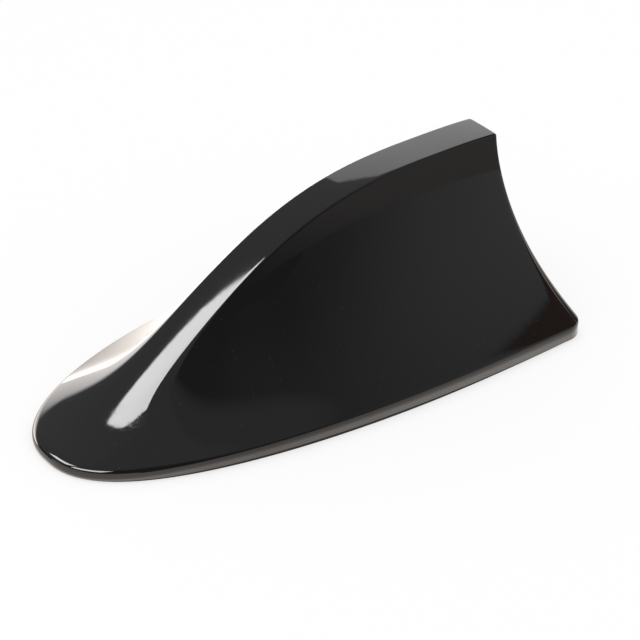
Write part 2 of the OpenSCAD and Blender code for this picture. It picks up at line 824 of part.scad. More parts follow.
// Drum core choke with a hollow waist
module filter_choke() {
    flange = choke_h / 4;
    color("#2a2b2e")
        centred()
            translate([side_part_x, -side_part_y, board_top])
                rotate_extrude()
                    polygon([
                        [0, 0], [choke_d / 2, 0], [choke_d / 2, flange],
                        [choke_d / 2 - 0.6, flange + 0.2],
                        [choke_d / 2 - 0.6, choke_h - flange - 0.2],
                        [choke_d / 2, choke_h - flange], [choke_d / 2, choke_h], [0, choke_h]
                    ]);
}

// Outside of the top plate: half width and height along its top and along its lower edges
function top_y(x) = strip_y(x) - wall - top_gap;
function top_z(x) = crest_z(x) - wall - top_gap;
function skirt_z(x) = top_z(x) - top_skirt;
function skirt_y(x) = let (v = (top_skirt + wall + top_gap) / (crest_z(x) - lip_z(x)))
    mix(strip_y(x), plan_y(x, cover_len, cover_w / 2, widest_x), out_share(v, flank_top, flank_foot))
        - wall - top_gap;

// Height of the underside of the top plate over the mast
mast_top = min(top_z(coil_x - top_head_d / 2), top_z(coil_x + top_head_d / 2)) - top_t - coil_end_clear / 2;
terminal_z = board_top + mast_foot_h;
coil_start = terminal_z + terminal_t + wire_d / 2 + coil_end_clear;
coil_end = skirt_z(coil_x - coil_d / 2) - wire_d;

// Centre line of the coil's wire: the turns, then a leg up to the top plate
function coil_point(a, z) = [coil_d / 2 * cos(a), coil_d / 2 * sin(a), z];
coil_path = concat(
    [for (i = [0:coil_turns * coil_steps]) let (a = 360 * i / coil_steps)
        coil_point(a, mix(coil_start, coil_end, i / (coil_turns * coil_steps)))],
    [
        coil_point(8, coil_end + wire_d / 4),
        coil_point(12, coil_end + wire_d),
        coil_point(12, top_z(coil_x + coil_d / 2) - top_t - coil_end_clear)
    ]
);

module wire_sweep(path, d, sides) {
    last = len(path) - 1;
    points = [
        for (k = [0:last]) let (
            step = path[min(last, k + 1)] - path[max(0, k - 1)],
            along = step / norm(step),
            out = [path[k][0], path[k][1], 0] / norm([path[k][0], path[k][1]]),
            side = cross(along, out) / norm(cross(along, out)),
            across = cross(side, along)
        ) for (j = [0:sides - 1]) let (a = 360 * j / sides)
            path[k] + d / 2 * (cos(a) * across + sin(a) * side)
    ];
    polyhedron(points, concat(
        [for (k = [0:last - 1], j = [0:sides - 1]) let (
            a = k * sides + j,
            b = k * sides + (j + 1) % sides
        ) each [[a, b, b + sides], [a, b + sides, a + sides]]],
        [[for (j = [sides - 1:-1:0]) j], [for (j = [0:sides - 1]) last * sides + j]]
    ));
}

module aerial_coil() {
    color("#b87340")
        centred()
            translate([coil_x, 0, 0])
                wire_sweep(coil_path, wire_d, coil_sides);
}

// Moulded mast inside the coil, with a pilot hole for the top screw
module coil_mast() {
    neck = top_y(coil_x) - top_t;
    neck_z = coil_end - wire_d;
    color("#e6e2d6")
        centred()
            translate([coil_x, 0, 0])
                rotate_extrude()
                    polygon([
                        [0, board_top], [mast_foot_d / 2, board_top],
                        [mast_foot_d / 2, terminal_z], [mast_d / 2, terminal_z],
                        [mast_d / 2, neck_z - mast_d / 2 + neck], [neck, neck_z],
                        [neck, mast_top], [top_screw_d / 2 + screw_clear, mast_top],
                        [top_screw_d / 2 + screw_clear, mast_top - top_screw_len - 1],
                        [0, mast_top - top_screw_len - 1 - top_screw_d / 2]
                    ]);
}

// Brass washer that the foot of the coil is soldered to
module coil_terminal() {
    color("#c9a24a")
        centred()
            translate([coil_x, 0, terminal_z])
                difference() {
                    cylinder(d = coil_d + 2 * wire_d, h = terminal_t);
                    translate([0, 0, -1])
                        cylinder(d = mast_d + 4 * screw_clear, h = terminal_t + 2);
                }
}

// Section of the folded top plate at a place along the fin
function top_section(x) = let (
    a = top_y(x),
    b = skirt_y(x),
    z = top_z(x),
    foot = skirt_z(x)
) [
    [x, b, foot], [x, a, z], [x, -a, z], [x, -b, foot],
    [x, top_t - b, foot], [x, top_t / 2 - a, z - top_t], [x, a - top_t / 2, z - top_t], [x, b - top_t, foot]
];

// Sheet metal plate folded down on both sides under the crest
module top_plate() {
    first_x = coil_x - top_ahead;
    size = 8;
    points = [for (k = [0:top_stations])
        each top_section(first_x + (top_ahead + top_behind) * k / top_stations)];
    last = top_stations * size;
    halves = [[0, 1, 6, 7], [1, 2, 5, 6], [2, 3, 4, 5]];
    color("#cfd1d3")
        centred()
            difference() {
                polyhedron(points, concat(
                    [for (k = [0:top_stations - 1], j = [0:size - 1]) let (
                        a = k * size + j,
                        b = k * size + (j + 1) % size
                    ) each [[a, a + size, b + size], [a, b + size, b]]],
                    [for (h = halves) h],
                    [for (h = halves) [for (j = [3:-1:0]) last + h[j]]]
                ));
                translate([coil_x, 0, mast_top - 1])
                    cylinder(d = top_screw_d + 2 * screw_clear, h = crest_h);
            }
}

module top_plate_screw() {
    seat = max(top_z(coil_x - top_head_d / 2), top_z(coil_x + top_head_d / 2)) + coil_end_clear / 4;
    color("#c4c6c8")
        centred()
            translate([coil_x, 0, seat])
                mirror([0, 0, 1])
                    tapping_screw(top_screw_d, top_screw_len, top_head_d, top_head_h);
}

// Coaxial socket facing the lead outlet
module coax_socket() {
    color("#c7a04c")
        centred()
            translate([board_front + coax_reach, socket_y, board_top]) {
                translate([0, -coax_w / 2, 0])
                    cube([coax_w, coax_w, coax_h]);
                translate([0, 0, coax_h / 2])
                    rotate([0, -90, 0])
                        difference() {
                            cylinder(d = coax_d, h = coax_reach);
                            translate([0, 0, coax_reach / 3])
                                cylinder(d = coax_d / 2, h = coax_reach);
                        }
            }
}

// Two way power socket, open at the front
module power_socket() {
    color("#e9e6dc")
        centred()
            translate([board_front + coax_reach / 2, -socket_y - power_w / 2, board_top])
                difference() {
                    cube([power_len, power_w, power_h]);
                    translate([-1, power_wall, power_wall])
                        cube([power_len - power_wall, power_w - 2 * power_wall, power_h]);
                }
}

cover();
foot_seal();
base_plate();
adhesive_pad();
lead_grommet();
cover_screws();
circuit_board();
board_screws();
shield_frame();
shield_lid();
amplifier_chip();
voltage_regulator();
chip_capacitors();
chip_resistors();
chip_inductors();
smoothing_capacitor();
filter_choke();
aerial_coil();
coil_mast();
coil_terminal();
top_plate();
top_plate_screw();
coax_socket();
power_socket();
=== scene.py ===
"""Shark fin roof aerial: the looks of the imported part, its studio and its camera.

Lengths of the pieces are in millimetres, measured from the nose as in the part's source, and become
metres in the row frame when a mesh is made. The finishes, the studio and the camera are in metres.
"""
import logging
import math
from dataclasses import dataclass, field
from enum import Enum
from typing import ClassVar, Iterable, Sequence

import bmesh
import bpy
import numpy as np
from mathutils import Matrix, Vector
from mathutils.bvhtree import BVHTree


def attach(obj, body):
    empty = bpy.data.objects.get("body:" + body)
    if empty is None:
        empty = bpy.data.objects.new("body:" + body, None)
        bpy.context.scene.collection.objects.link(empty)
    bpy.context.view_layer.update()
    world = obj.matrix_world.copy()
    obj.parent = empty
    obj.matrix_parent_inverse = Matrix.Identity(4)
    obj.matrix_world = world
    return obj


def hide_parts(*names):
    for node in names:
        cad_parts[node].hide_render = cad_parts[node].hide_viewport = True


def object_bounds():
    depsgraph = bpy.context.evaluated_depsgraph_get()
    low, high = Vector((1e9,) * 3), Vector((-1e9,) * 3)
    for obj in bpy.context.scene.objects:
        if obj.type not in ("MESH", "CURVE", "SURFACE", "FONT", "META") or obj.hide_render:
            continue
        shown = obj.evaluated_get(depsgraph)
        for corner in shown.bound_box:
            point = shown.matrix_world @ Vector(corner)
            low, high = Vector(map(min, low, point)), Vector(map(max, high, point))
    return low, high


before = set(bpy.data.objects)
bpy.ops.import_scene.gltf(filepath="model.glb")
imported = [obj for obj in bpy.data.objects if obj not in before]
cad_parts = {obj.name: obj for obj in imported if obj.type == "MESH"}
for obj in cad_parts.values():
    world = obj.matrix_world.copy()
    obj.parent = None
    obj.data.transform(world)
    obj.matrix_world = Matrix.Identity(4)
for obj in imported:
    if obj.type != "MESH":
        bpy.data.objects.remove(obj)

RGBA = tuple[float, float, float, float]
Vec3 = tuple[float, float, float]
Pair = tuple[float, float]
Places = tuple[Pair, ...]

LOG = logging.getLogger("fin")
MM = 0.001
BODY = "root"
WHITE: RGBA = (1.0, 1.0, 1.0, 1.0)
CAD_BOX = [list(corner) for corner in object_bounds()]


class Slot(Enum):
    """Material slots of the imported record."""

    COVER = "gloss_cover"
    RUBBER = "seal_rubber"
    BASE = "base_moulding"
    FOAM = "pad_foam"
    STEEL = "screw_steel"
    BOARD = "board_laminate"
    SHEET = "tinned_sheet"
    CHIP = "chip_body"
    CERAMIC = "capacitor_ceramic"
    CAN = "capacitor_can"
    FERRITE = "core_ferrite"
    WIRE = "coil_wire"
    NYLON = "mast_moulding"
    BRASS = "terminal_brass"


def mix(a: np.ndarray | float, b: np.ndarray | float, share: np.ndarray | float) -> np.ndarray | float:
    """Returns the value a share of the way from a to b."""
    return a + (b - a) * share


def smooth(value: np.ndarray | float) -> np.ndarray:
    """Returns a smooth step from 0 to 1."""
    share = np.clip(value, 0.0, 1.0)
    return share * share * (3.0 - 2.0 * share)


def opaque(red: float, green: float | None = None, blue: float | None = None) -> RGBA:
    """Returns an opaque colour, a grey where one channel is given."""
    return red, red if green is None else green, red if blue is None else blue, 1.0


def circle(centre: Pair, radius: float, sides: int) -> list[Pair]:
    """Returns the places round a circle, in equal steps from its +X side."""
    turns = [2.0 * math.pi * k / sides for k in range(sides)]
    return [(centre[0] + radius * math.cos(a), centre[1] + radius * math.sin(a)) for a in turns]


def band(first: int, size: int) -> list[tuple[int, int, int, int]]:
    """Returns the faces between a closed ring of points and the ring after it."""
    pairs = [(first + i, first + (i + 1) % size) for i in range(size)]
    return [(a, a + size, b + size, b) for a, b in pairs]


class Graph:
    """A node tree under construction."""

    def __init__(self, tree: bpy.types.NodeTree) -> None:
        """Empties the tree.

        Args:
            tree: the tree to fill.
        """
        self.tree = tree
        tree.nodes.clear()

    def add(self, kind: str, inputs: dict | None = None, **settings: object) -> bpy.types.Node:
        """Adds a node.

        Args:
            kind: the node's type name.
            inputs: values or sockets for its inputs, by name or place.
            **settings: the node's own properties.

        Returns:
            The new node.
        """
        node = self.tree.nodes.new(kind)
        for name, value in settings.items():
            setattr(node, name, value)
        for name, value in (inputs or {}).items():
            self.feed(node.inputs[name], value)
        return node

    def feed(self, socket: bpy.types.NodeSocket, value: object) -> None:
        """Links a socket to a socket, or sets its value.

        Args:
            socket: the socket to feed.
            value: another socket or a plain value.
        """
        if isinstance(value, bpy.types.NodeSocket):
            self.tree.links.new(value, socket)
        else:
            socket.default_value = value

    def math(self, operation: str, a: object, b: object = 0.0, c: object = 0.0) -> bpy.types.NodeSocket:
        """Adds a Math node and returns its output."""
        return self.add("ShaderNodeMath", {0: a, 1: b, 2: c}, operation=operation).outputs[0]

    def dot(self, a: object, b: object) -> bpy.types.NodeSocket:
        """Adds a dot product and returns its value."""
        return self.add("ShaderNodeVectorMath", {0: a, 1: b}, operation="DOT_PRODUCT").outputs["Value"]

    def times(self, a: object, b: object) -> bpy.types.NodeSocket:
        """Adds a product and returns it."""
        return self.math("MULTIPLY", a, b)

    def most(self, a: object, b: object) -> bpy.types.NodeSocket:
        """Adds the greater of two values and returns it."""
        return self.math("MAXIMUM", a, b)

    def ramp(self, value: object, low: object, high: object,
             start: object = 0.0, end: object = 1.0) -> bpy.types.NodeSocket:
        """Adds a smooth Map Range.

        Args:
            value: the socket to read.
            low: where the step begins.
            high: where the step ends.
            start: what it gives before low.
            end: what it gives after high.

        Returns:
            The result's socket.
        """
        node = self.add("ShaderNodeMapRange", interpolation_type="SMOOTHSTEP")
        for place, item in enumerate((value, low, high, start, end)):
            self.feed(node.inputs[place], item)
        return node.outputs[0]

    def blend(self, share: object, a: object, b: object) -> bpy.types.NodeSocket:
        """Adds a colour Mix node.

        Args:
            share: the share of the second colour.
            a: the first colour.
            b: the second colour.

        Returns:
            The mixed colour's socket.
        """
        node = self.add("ShaderNodeMix", data_type="RGBA")
        for name, item in (("Factor_Float", share), ("A_Color", a), ("B_Color", b)):
            self.feed(next(s for s in node.inputs if s.identifier == name), item)
        return next(s for s in node.outputs if s.identifier == "Result_Color")

    def part(self, vector: object, axis: int) -> bpy.types.NodeSocket:
        """Returns one part of a vector: 0 for x, 1 for y and 2 for z."""
        return self.add("ShaderNodeSeparateXYZ", {0: vector}).outputs[axis]

    def noise(self, place: object, cell: object, detail: object) -> bpy.types.NodeSocket:
        """Adds noise with a cell size in metres and returns it."""
        scale = self.math("DIVIDE", 1.0, cell)
        return self.add("ShaderNodeTexNoise", {"Vector": place, "Scale": scale, "Detail": detail}).outputs[0]

    def cells(self, place: object, scale: object) -> bpy.types.Node:
        """Adds a Voronoi texture with a number of cells a metre."""
        return self.add("ShaderNodeTexVoronoi", {"Vector": place, "Scale": scale})

    def laid(self, share: object, under: bpy.types.Node, over: bpy.types.Node) -> bpy.types.Node:
        """Adds a Mix Shader that lays one shader over another by a share."""
        return self.add("ShaderNodeMixShader", {0: share, 1: under.outputs[0], 2: over.outputs[0]})

    def direct(self, path: bpy.types.Node) -> bpy.types.NodeSocket:
        """Returns 1 for what the camera sees directly or through something clear."""
        return self.most(path.outputs["Is Camera Ray"], path.outputs["Is Transmission Ray"])


def new_inputs(tree: bpy.types.NodeTree, inputs: dict[str, object]) -> None:
    """Gives a node group its inputs.

    Args:
        tree: the group.
        inputs: the inputs with their defaults, whose type decides that of the socket.
    """
    kinds = {int: "NodeSocketInt", float: "NodeSocketFloat", tuple: "NodeSocketVector"}
    for label, value in inputs.items():
        socket = tree.interface.new_socket(label, in_out="INPUT", socket_type=kinds[type(value)])
        socket.default_value = value


def new_group(name: str, inputs: dict[str, object], outputs: Iterable[str]) -> tuple[Graph, dict, dict]:
    """Makes an empty shader node group.

    Args:
        name: the group's name.
        inputs: its inputs with their defaults.
        outputs: names of its value outputs.

    Returns:
        The graph, the sockets of the inputs by name, and those of the outputs.
    """
    tree = bpy.data.node_groups.new(name, "ShaderNodeTree")
    new_inputs(tree, inputs)
    for label in outputs:
        tree.interface.new_socket(label, in_out="OUTPUT", socket_type="NodeSocketFloat")
    graph = Graph(tree)
    given = graph.add("NodeGroupInput")
    wanted = graph.add("NodeGroupOutput")
    return (
        graph,
        {s.name: s for s in given.outputs if s.name},
        {s.name: s for s in wanted.inputs if s.name},
    )


def placed(points: np.ndarray) -> np.ndarray:
    """Returns points in the row frame's metres, from millimetres behind the nose."""
    return (np.asarray(points, float) - (CoverShape.length / 2, 0.0, 0.0)) * MM


def linked(name: str, data: bpy.types.ID) -> bpy.types.Object:
    """Makes an object of its data and links it to the scene."""
    made = bpy.data.objects.new(name, data)
    bpy.context.scene.collection.objects.link(made)
    return made


def baked(piece: bpy.types.Object, modifier: bpy.types.Modifier, layers: bool) -> bpy.types.Object:
    """Turns what a modifier makes of a piece into its plain mesh and removes the modifier.

    Args:
        piece: the object.
        modifier: its only modifier.
        layers: whether every data layer is kept.

    Returns:
        The same object.
    """
    seen = bpy.context.evaluated_depsgraph_get()
    whole = piece.evaluated_get(seen)
    mesh = bpy.data.meshes.new_from_object(whole, preserve_all_data_layers=layers, depsgraph=seen)
    piece.modifiers.remove(modifier)
    piece.data = mesh
    return piece


def mesh_object(name: str, points: np.ndarray, faces: Sequence[Sequence[int]],
                edges: Sequence[tuple[int, int]] = ()) -> bpy.types.Object:
    """Makes a linked, smooth shaded object.

    Args:
        name: the piece's name.
        points: one row of x, y, z for each point, in millimetres from the nose.
        faces: the points of each face.
        edges: pairs of points that loose edges join.

    Returns:
        The object, at the origin of the row frame.
    """
    mesh = bpy.data.meshes.new(name)
    mesh.from_pydata(placed(points).tolist(), list(edges), [list(face) for face in faces])
    mesh.validate()
    mesh.polygons.foreach_set("use_smooth", [True] * len(mesh.polygons))
    mesh.update()
    return linked(name, mesh)


@dataclass
class CoverShape:
    """The cover's outside as rings of points, by the same rules as the part's source."""

    length: float = 165.0
    width: float = 84.4
    widest_back: float = 43.0
    rear_taper: float = 1.2
    nose_power: float = 1.98
    side_power: float = 2.46
    corner_r: float = 7.0
    corner_least: float = 0.8
    crest_h: float = 56.7
    peak_back: float = 29.5
    crest_turn: float = 2.8
    crest_rise: float = 2.25
    crest_front: float = 8.0
    crest_round: float = 14.0
    front_w: float = 12.4
    tip_w: float = 12.6
    nose_spread: float = 10.0
    spread_len: float = 68.0
    tip_back: float = 8.8
    crown: float = 0.1
    crown_nose: float = 0.8
    crown_fade: float = 65.0
    edge_tip: float = 0.7
    edge_nose: float = 4.6
    edge_fade: float = 57.0
    edge_most: float = 0.42
    flank_top: float = 0.2
    flank_foot: float = 1.95
    tail_top: float = 0.05
    tail_foot: float = 2.2
    nose_top: float = 1.2
    nose_foot: float = 0.75
    dome_len: float = 70.0
    lip_front: float = 2.7
    lip_rear: float = 4.1
    lip_r: float = 0.45
    lip_r_nose: float = 1.5
    lip_fade: float = 45.0
    lip_most: float = 0.3
    lip_arch: float = 1.4
    rim_gap: float = 0.45
    rim_arch: float = 0.95
    wall: float = 2.0
    nose_steps: int = 72
    side_steps: int = 28
    corner_steps: int = 14
    rear_steps: int = 10
    edge_rings: int = 12
    flank_rings: int = 56
    lip_rings: int = 8
    inside_rings: int = 40
    plan: np.ndarray = field(init=False)

    def __post_init__(self) -> None:
        """Works out the plan of the outside."""
        self.widest = self.length - self.widest_back
        self.peak = self.length - self.peak_back
        self.tip = self.length - self.tip_back
        self.side_end = self.nose_steps + self.side_steps
        self.corner_end = self.side_end + self.corner_steps
        self.plan = self.cover_plan(0.0)

    def bow(self, x: np.ndarray) -> np.ndarray:
        """Returns an arch over the length, 0 at both ends and 1 in the middle."""
        return np.maximum(0.0, 1.0 - (2.0 * x / self.length - 1.0) ** 2)

    def rim_z(self, x: np.ndarray) -> np.ndarray:
        """Returns the height of the arched rim."""
        return self.rim_gap + self.rim_arch * self.bow(x)

    def lip_z(self, x: np.ndarray) -> np.ndarray:
        """Returns the height of the top of the lip."""
        high = mix(self.lip_front, self.lip_rear, x / self.length)
        return self.rim_gap + high + self.lip_arch * self.bow(x)

    def crest_z(self, x: np.ndarray) -> np.ndarray:
        """Returns the height of the crest line."""
        low = self.rim_gap + self.lip_front
        turn = 1.0 - np.abs(1.0 - x / self.peak) ** self.crest_turn
        return low + (self.crest_h - low) * np.maximum(turn, 0.0) ** self.crest_rise

    def strip_y(self, x: np.ndarray) -> np.ndarray:
        """Returns the half width of the crest strip, which spreads towards the nose."""
        spread = self.nose_spread * np.maximum(0.0, 1.0 - x / self.spread_len) ** 2
        return mix(self.front_w, self.tip_w, x / self.tip) / 2.0 + spread

    def crest_y(self, x: np.ndarray, inset: np.ndarray) -> np.ndarray:
        """Returns the half width of the strip with its front end closed to a round."""
        share = np.clip((x - self.crest_front - inset) / self.crest_round, 0.0, 1.0)
        return (self.strip_y(x) - inset) * np.sqrt(1.0 - (1.0 - share) ** 3)

    def strip_z(self, x: np.ndarray, y: np.ndarray, drop: np.ndarray | float) -> np.ndarray:
        """Returns the height of the strip, which is crowned more towards the nose."""
        crown = mix(self.crown_nose, self.crown, smooth(x / self.crown_fade))
        return self.crest_z(x) + crown * (1.0 - (y / self.strip_y(x)) ** 2) - drop

    def plan_y(self, x: np.ndarray, length: float, half: float, wide: float) -> np.ndarray:
        """Works out the half width of a plan of the cover's form.

        Args:
            x: places behind the front of the plan.
            length: the plan's length.
            half: its greatest half width.
            wide: where it is widest.

        Returns:
            The half width at each place.
        """
        swell = 1.0 - np.maximum(0.0, 1.0 - x / wide) ** self.nose_power
        nose = half * np.maximum(swell, 0.0) ** (1.0 / self.side_power)
        side = half - self.rear_taper * np.maximum((x - wide) / (length - wide), 0.0) ** 2
        return np.where(x <= wide, nose, side)

    def half_plan(self, start: float, length: float, half: float, wide: float, radius: float) -> np.ndarray:
        """Works out half of a plan: nose, side, corner and rear edge.

        Args:
            start: where the plan starts.
            length: its length.
            half: its greatest half width.
            wide: where it is widest, behind its start.
            radius: the radius of its rear corner.

        Returns:
            One row of x, y for each point.
        """
        share = np.arange(self.nose_steps + 1) / self.nose_steps
        nose_x = wide * (1.0 - np.cos(np.pi / 2.0 * share))
        side_x = mix(wide, length - radius, np.arange(1, self.side_steps + 1) / self.side_steps)
        end_y = float(self.plan_y(np.array(length - radius), length, half, wide))
        turn = np.pi / 2.0 * np.arange(1, self.corner_steps + 1) / self.corner_steps
        back = np.arange(1, self.rear_steps + 1) / self.rear_steps
        corner_x = length - radius + radius * np.sin(turn)
        xs = np.concatenate([nose_x, side_x, corner_x, np.full(self.rear_steps, length)])
        ys = np.concatenate([
            self.plan_y(nose_x, length, half, wide),
            self.plan_y(side_x, length, half, wide),
            end_y - radius + radius * np.cos(turn),
            (end_y - radius) * (1.0 - back),
        ])
        return np.stack([xs + start, ys], axis=1)

    def cover_plan(self, inset: float) -> np.ndarray:
        """Returns half of the cover's plan, moved inwards."""
        radius = max(self.corner_least, self.corner_r - inset)
        return self.half_plan(inset, self.length - 2.0 * inset, self.width / 2.0 - inset,
                              self.widest - inset, radius)

    def crest_outline(self, inset: np.ndarray | float) -> np.ndarray:
        """Works out the crest's outline, point for point with the plan.

        Args:
            inset: how far it is moved inwards, one value or one for each point.

        Returns:
            One row of x, y for each point.
        """
        place = np.arange(len(self.plan))
        inset = np.broadcast_to(np.asarray(inset, float), place.shape)
        rear = self.tip - inset
        end_x = rear - self.edge_tip
        end_y = self.crest_y(end_x, inset) - self.edge_tip
        x = mix(self.crest_front + inset, end_x, self.plan[:, 0] / (self.length - self.corner_r))
        y = self.crest_y(np.minimum(x, end_x), inset)
        turn = np.pi / 2.0 * (place - self.side_end) / self.corner_steps
        corner = (place > self.side_end) & (place <= self.corner_end)
        back = place > self.corner_end
        x = np.where(corner, end_x + self.edge_tip * np.sin(turn), np.where(back, rear, x))
        y = np.where(corner, end_y + self.edge_tip * np.cos(turn), y)
        y = np.where(back, end_y * (1.0 - (place - self.corner_end) / self.rear_steps), y)
        return np.stack([x, y], axis=1)

    def slope(self, nose: float, flank: float, tail: float) -> np.ndarray:
        """Blends a slope over the plan.

        Args:
            nose: the slope at the nose.
            flank: the slope along the flank.
            tail: the slope of the rear face.

        Returns:
            The slope at each point.
        """
        place = np.arange(len(self.plan))
        side = mix(nose, flank, smooth(self.plan[:, 0] / self.dome_len))
        return mix(side, tail, smooth((place - self.side_end) / self.corner_steps))

    def flank(self, down: np.ndarray | float, inset: float, foot: np.ndarray) -> np.ndarray:
        """Works out the ring a share of the way down the flank.

        Args:
            down: the share, one value or one for each point.
            inset: how far the surface lies inside the outside.
            foot: where the flank ends, one row of x, y for each point.

        Returns:
            One row of x, y, z for each point.
        """
        crest = self.crest_outline(inset)
        top = self.slope(self.nose_top, self.flank_top, self.tail_top)
        out = self.slope(self.nose_foot, self.flank_foot, self.tail_foot)
        share = ((top + out - 2.0) * down + 3.0 - 2.0 * top - out) * down * down + top * down
        high = self.strip_z(crest[:, 0], crest[:, 1], inset)
        low = self.lip_z(self.plan[:, 0]) - inset
        x, y = (mix(crest[:, axis], foot[:, axis], share) for axis in (0, 1))
        return np.stack([x, y, mix(high, low, down)], axis=1)

    def outer_rings(self) -> list[np.ndarray]:
        """Returns the rings of the outside, from the crest down to the rim."""
        place = np.arange(len(self.plan))
        faded = mix(self.edge_nose, self.edge_tip, smooth(self.plan[:, 0] / self.edge_fade))
        edge = np.where(place > self.side_end, self.edge_tip, faded)
        lip = mix(self.lip_r + self.lip_r_nose, self.lip_r, smooth(self.plan[:, 0] / self.lip_fade))
        crest = self.crest_outline(0.0)
        crest_z = self.strip_z(crest[:, 0], crest[:, 1], 0.0)
        fall = crest_z - self.lip_z(self.plan[:, 0])
        edge_share = np.minimum(self.edge_most, edge / fall)
        foot_slope = self.slope(self.nose_foot, self.flank_foot, self.tail_foot)
        run = np.linalg.norm(self.plan - crest, axis=1) * foot_slope
        lip_share = 1.0 - np.minimum(self.lip_most, lip / np.hypot(run, fall))
        inner = self.crest_outline(edge)
        start = np.column_stack([inner, self.strip_z(inner[:, 0], inner[:, 1], 0.0)])
        sharp = np.column_stack([crest, crest_z])
        upper = self.flank(edge_share, 0.0, self.plan)
        rings = self.rounding(start, sharp, upper, self.edge_rings)
        for k in range(1, self.flank_rings):
            rings.append(self.flank(mix(edge_share, lip_share, k / self.flank_rings), 0.0, self.plan))
        sharp = np.column_stack([self.plan, self.lip_z(self.plan[:, 0])])
        below = sharp - np.outer(lip, (0.0, 0.0, 1.0))
        lower = self.flank(lip_share, 0.0, self.plan)
        rings += self.rounding(lower, sharp, below, self.lip_rings)
        rings.append(np.column_stack([self.plan, self.rim_z(self.plan[:, 0])]))
        return rings

    @staticmethod
    def rounding(start: np.ndarray, sharp: np.ndarray, end: np.ndarray, steps: int) -> list[np.ndarray]:
        """Rounds an edge whose sharp corner is the control point.

        Args:
            start: where the rounding starts.
            sharp: the sharp corner.
            end: where the rounding ends.
            steps: how many steps it has.

        Returns:
            The points of each step, with the start and the end.
        """
        shares = [k / steps for k in range(steps + 1)]
        return [(1.0 - t) ** 2 * start + 2.0 * t * (1.0 - t) * sharp + t * t * end for t in shares]

    def inner_rings(self) -> list[np.ndarray]:
        """Returns the rings of the inside, from the rim up to the crest."""
        foot, count = self.cover_plan(self.wall), self.inside_rings
        rings = [np.column_stack([foot, self.rim_z(self.plan[:, 0])])]
        return rings + [self.flank(k / count, self.wall, foot) for k in range(count, -1, -1)]


class Skin:
    """A closed skin built from half rings, mirrored about the middle plane."""

    def __init__(self, shape: CoverShape, rings: list[np.ndarray]) -> None:
        """Joins the rings.

        Args:
            shape: the shape that the rings belong to.
            rings: half rings, each from the middle of the nose to the middle of the rear.
        """
        self.shape = shape
        self.size = 2 * (len(rings[0]) - 1)
        self.points = [row for ring in rings for row in self.both(ring)]
        self.faces: list[tuple[int, ...]] = []
        for k in range(len(rings) - 1):
            self.faces += band(k * self.size, self.size)

    @staticmethod
    def both(half: np.ndarray) -> np.ndarray:
        """Returns the ring made of a half ring and its mirror image."""
        return np.concatenate([half, half[-2:0:-1] * (1.0, -1.0, 1.0)])

    def cap(self, ring: np.ndarray, first: int, drop: float, down: bool) -> None:
        """Closes a crest ring with rows across the strip.

        Args:
            ring: the half ring to close.
            first: the number of its first point.
            drop: how far the skin lies under the outside.
            down: whether its faces look down.
        """
        shape, cells = self.shape, 2 * self.shape.rear_steps
        grid = [[first] * (cells + 1)]
        for i in range(1, shape.corner_end):
            row = [first + i]
            for j in range(1, cells):
                x, y = ring[i][0], ring[i][1] * (1.0 - 2.0 * j / cells)
                row.append(len(self.points))
                self.points.append(np.array([x, y, float(shape.strip_z(x, y, drop))]))
            grid.append(row + [first + self.size - i])
        grid.append([first + shape.corner_end + j for j in range(cells + 1)])
        for upper, lower in zip(grid, grid[1:]):
            for j in range(cells):
                quad = list(dict.fromkeys((upper[j], lower[j], lower[j + 1], upper[j + 1])))
                self.faces.append(tuple(reversed(quad)) if down else tuple(quad))


@dataclass(frozen=True)
class LightCard:
    """A soft-edged bright card of the studio, seen only in reflections.

    Azimuth 0 lies towards the fin's -Y side and azimuth 90 behind its tail. The half sizes and the
    soft edge are tangents of angles, and left and foot are the shares of the level at those ends.
    """

    azimuth: float
    elevation: float
    half_wide: float
    half_high: float
    soft: float
    level: float
    roll: float = 0.0
    left: float = 1.0
    foot: float = 1.0
    tint: Vec3 = (1.0, 1.0, 1.0)

    def axes(self) -> tuple[Vector, Vector, Vector]:
        """Returns the card's direction from the object, its right and its up."""
        a, e = math.radians(self.azimuth), math.radians(self.elevation)
        ahead = Vector((math.sin(a) * math.cos(e), -math.cos(a) * math.cos(e), math.sin(e)))
        right = Vector((math.cos(a), math.sin(a), 0.0))
        up = ahead.cross(right)
        c, s = math.cos(math.radians(self.roll)), math.sin(math.radians(self.roll))
        return ahead, right * c + up * s, up * c - right * s

    def seen(self, graph: Graph, group: bpy.types.NodeTree, direction: object) -> bpy.types.NodeSocket:
        """Places the card in the world.

        Args:
            graph: the world's graph.
            group: the group that gives a card's brightness.
            direction: the socket of the direction looked in.

        Returns:
            The socket of its brightness.
        """
        ahead, right, up = self.axes()
        values = {
            "Direction": direction, "Ahead": ahead, "Right": right, "Up": up,
            "Half wide": self.half_wide, "Half high": self.half_high, "Soft": self.soft,
            "Level": self.level, "Left": self.left, "Foot": self.foot,
        }
        return graph.add("ShaderNodeGroup", values, node_tree=group).outputs[0]


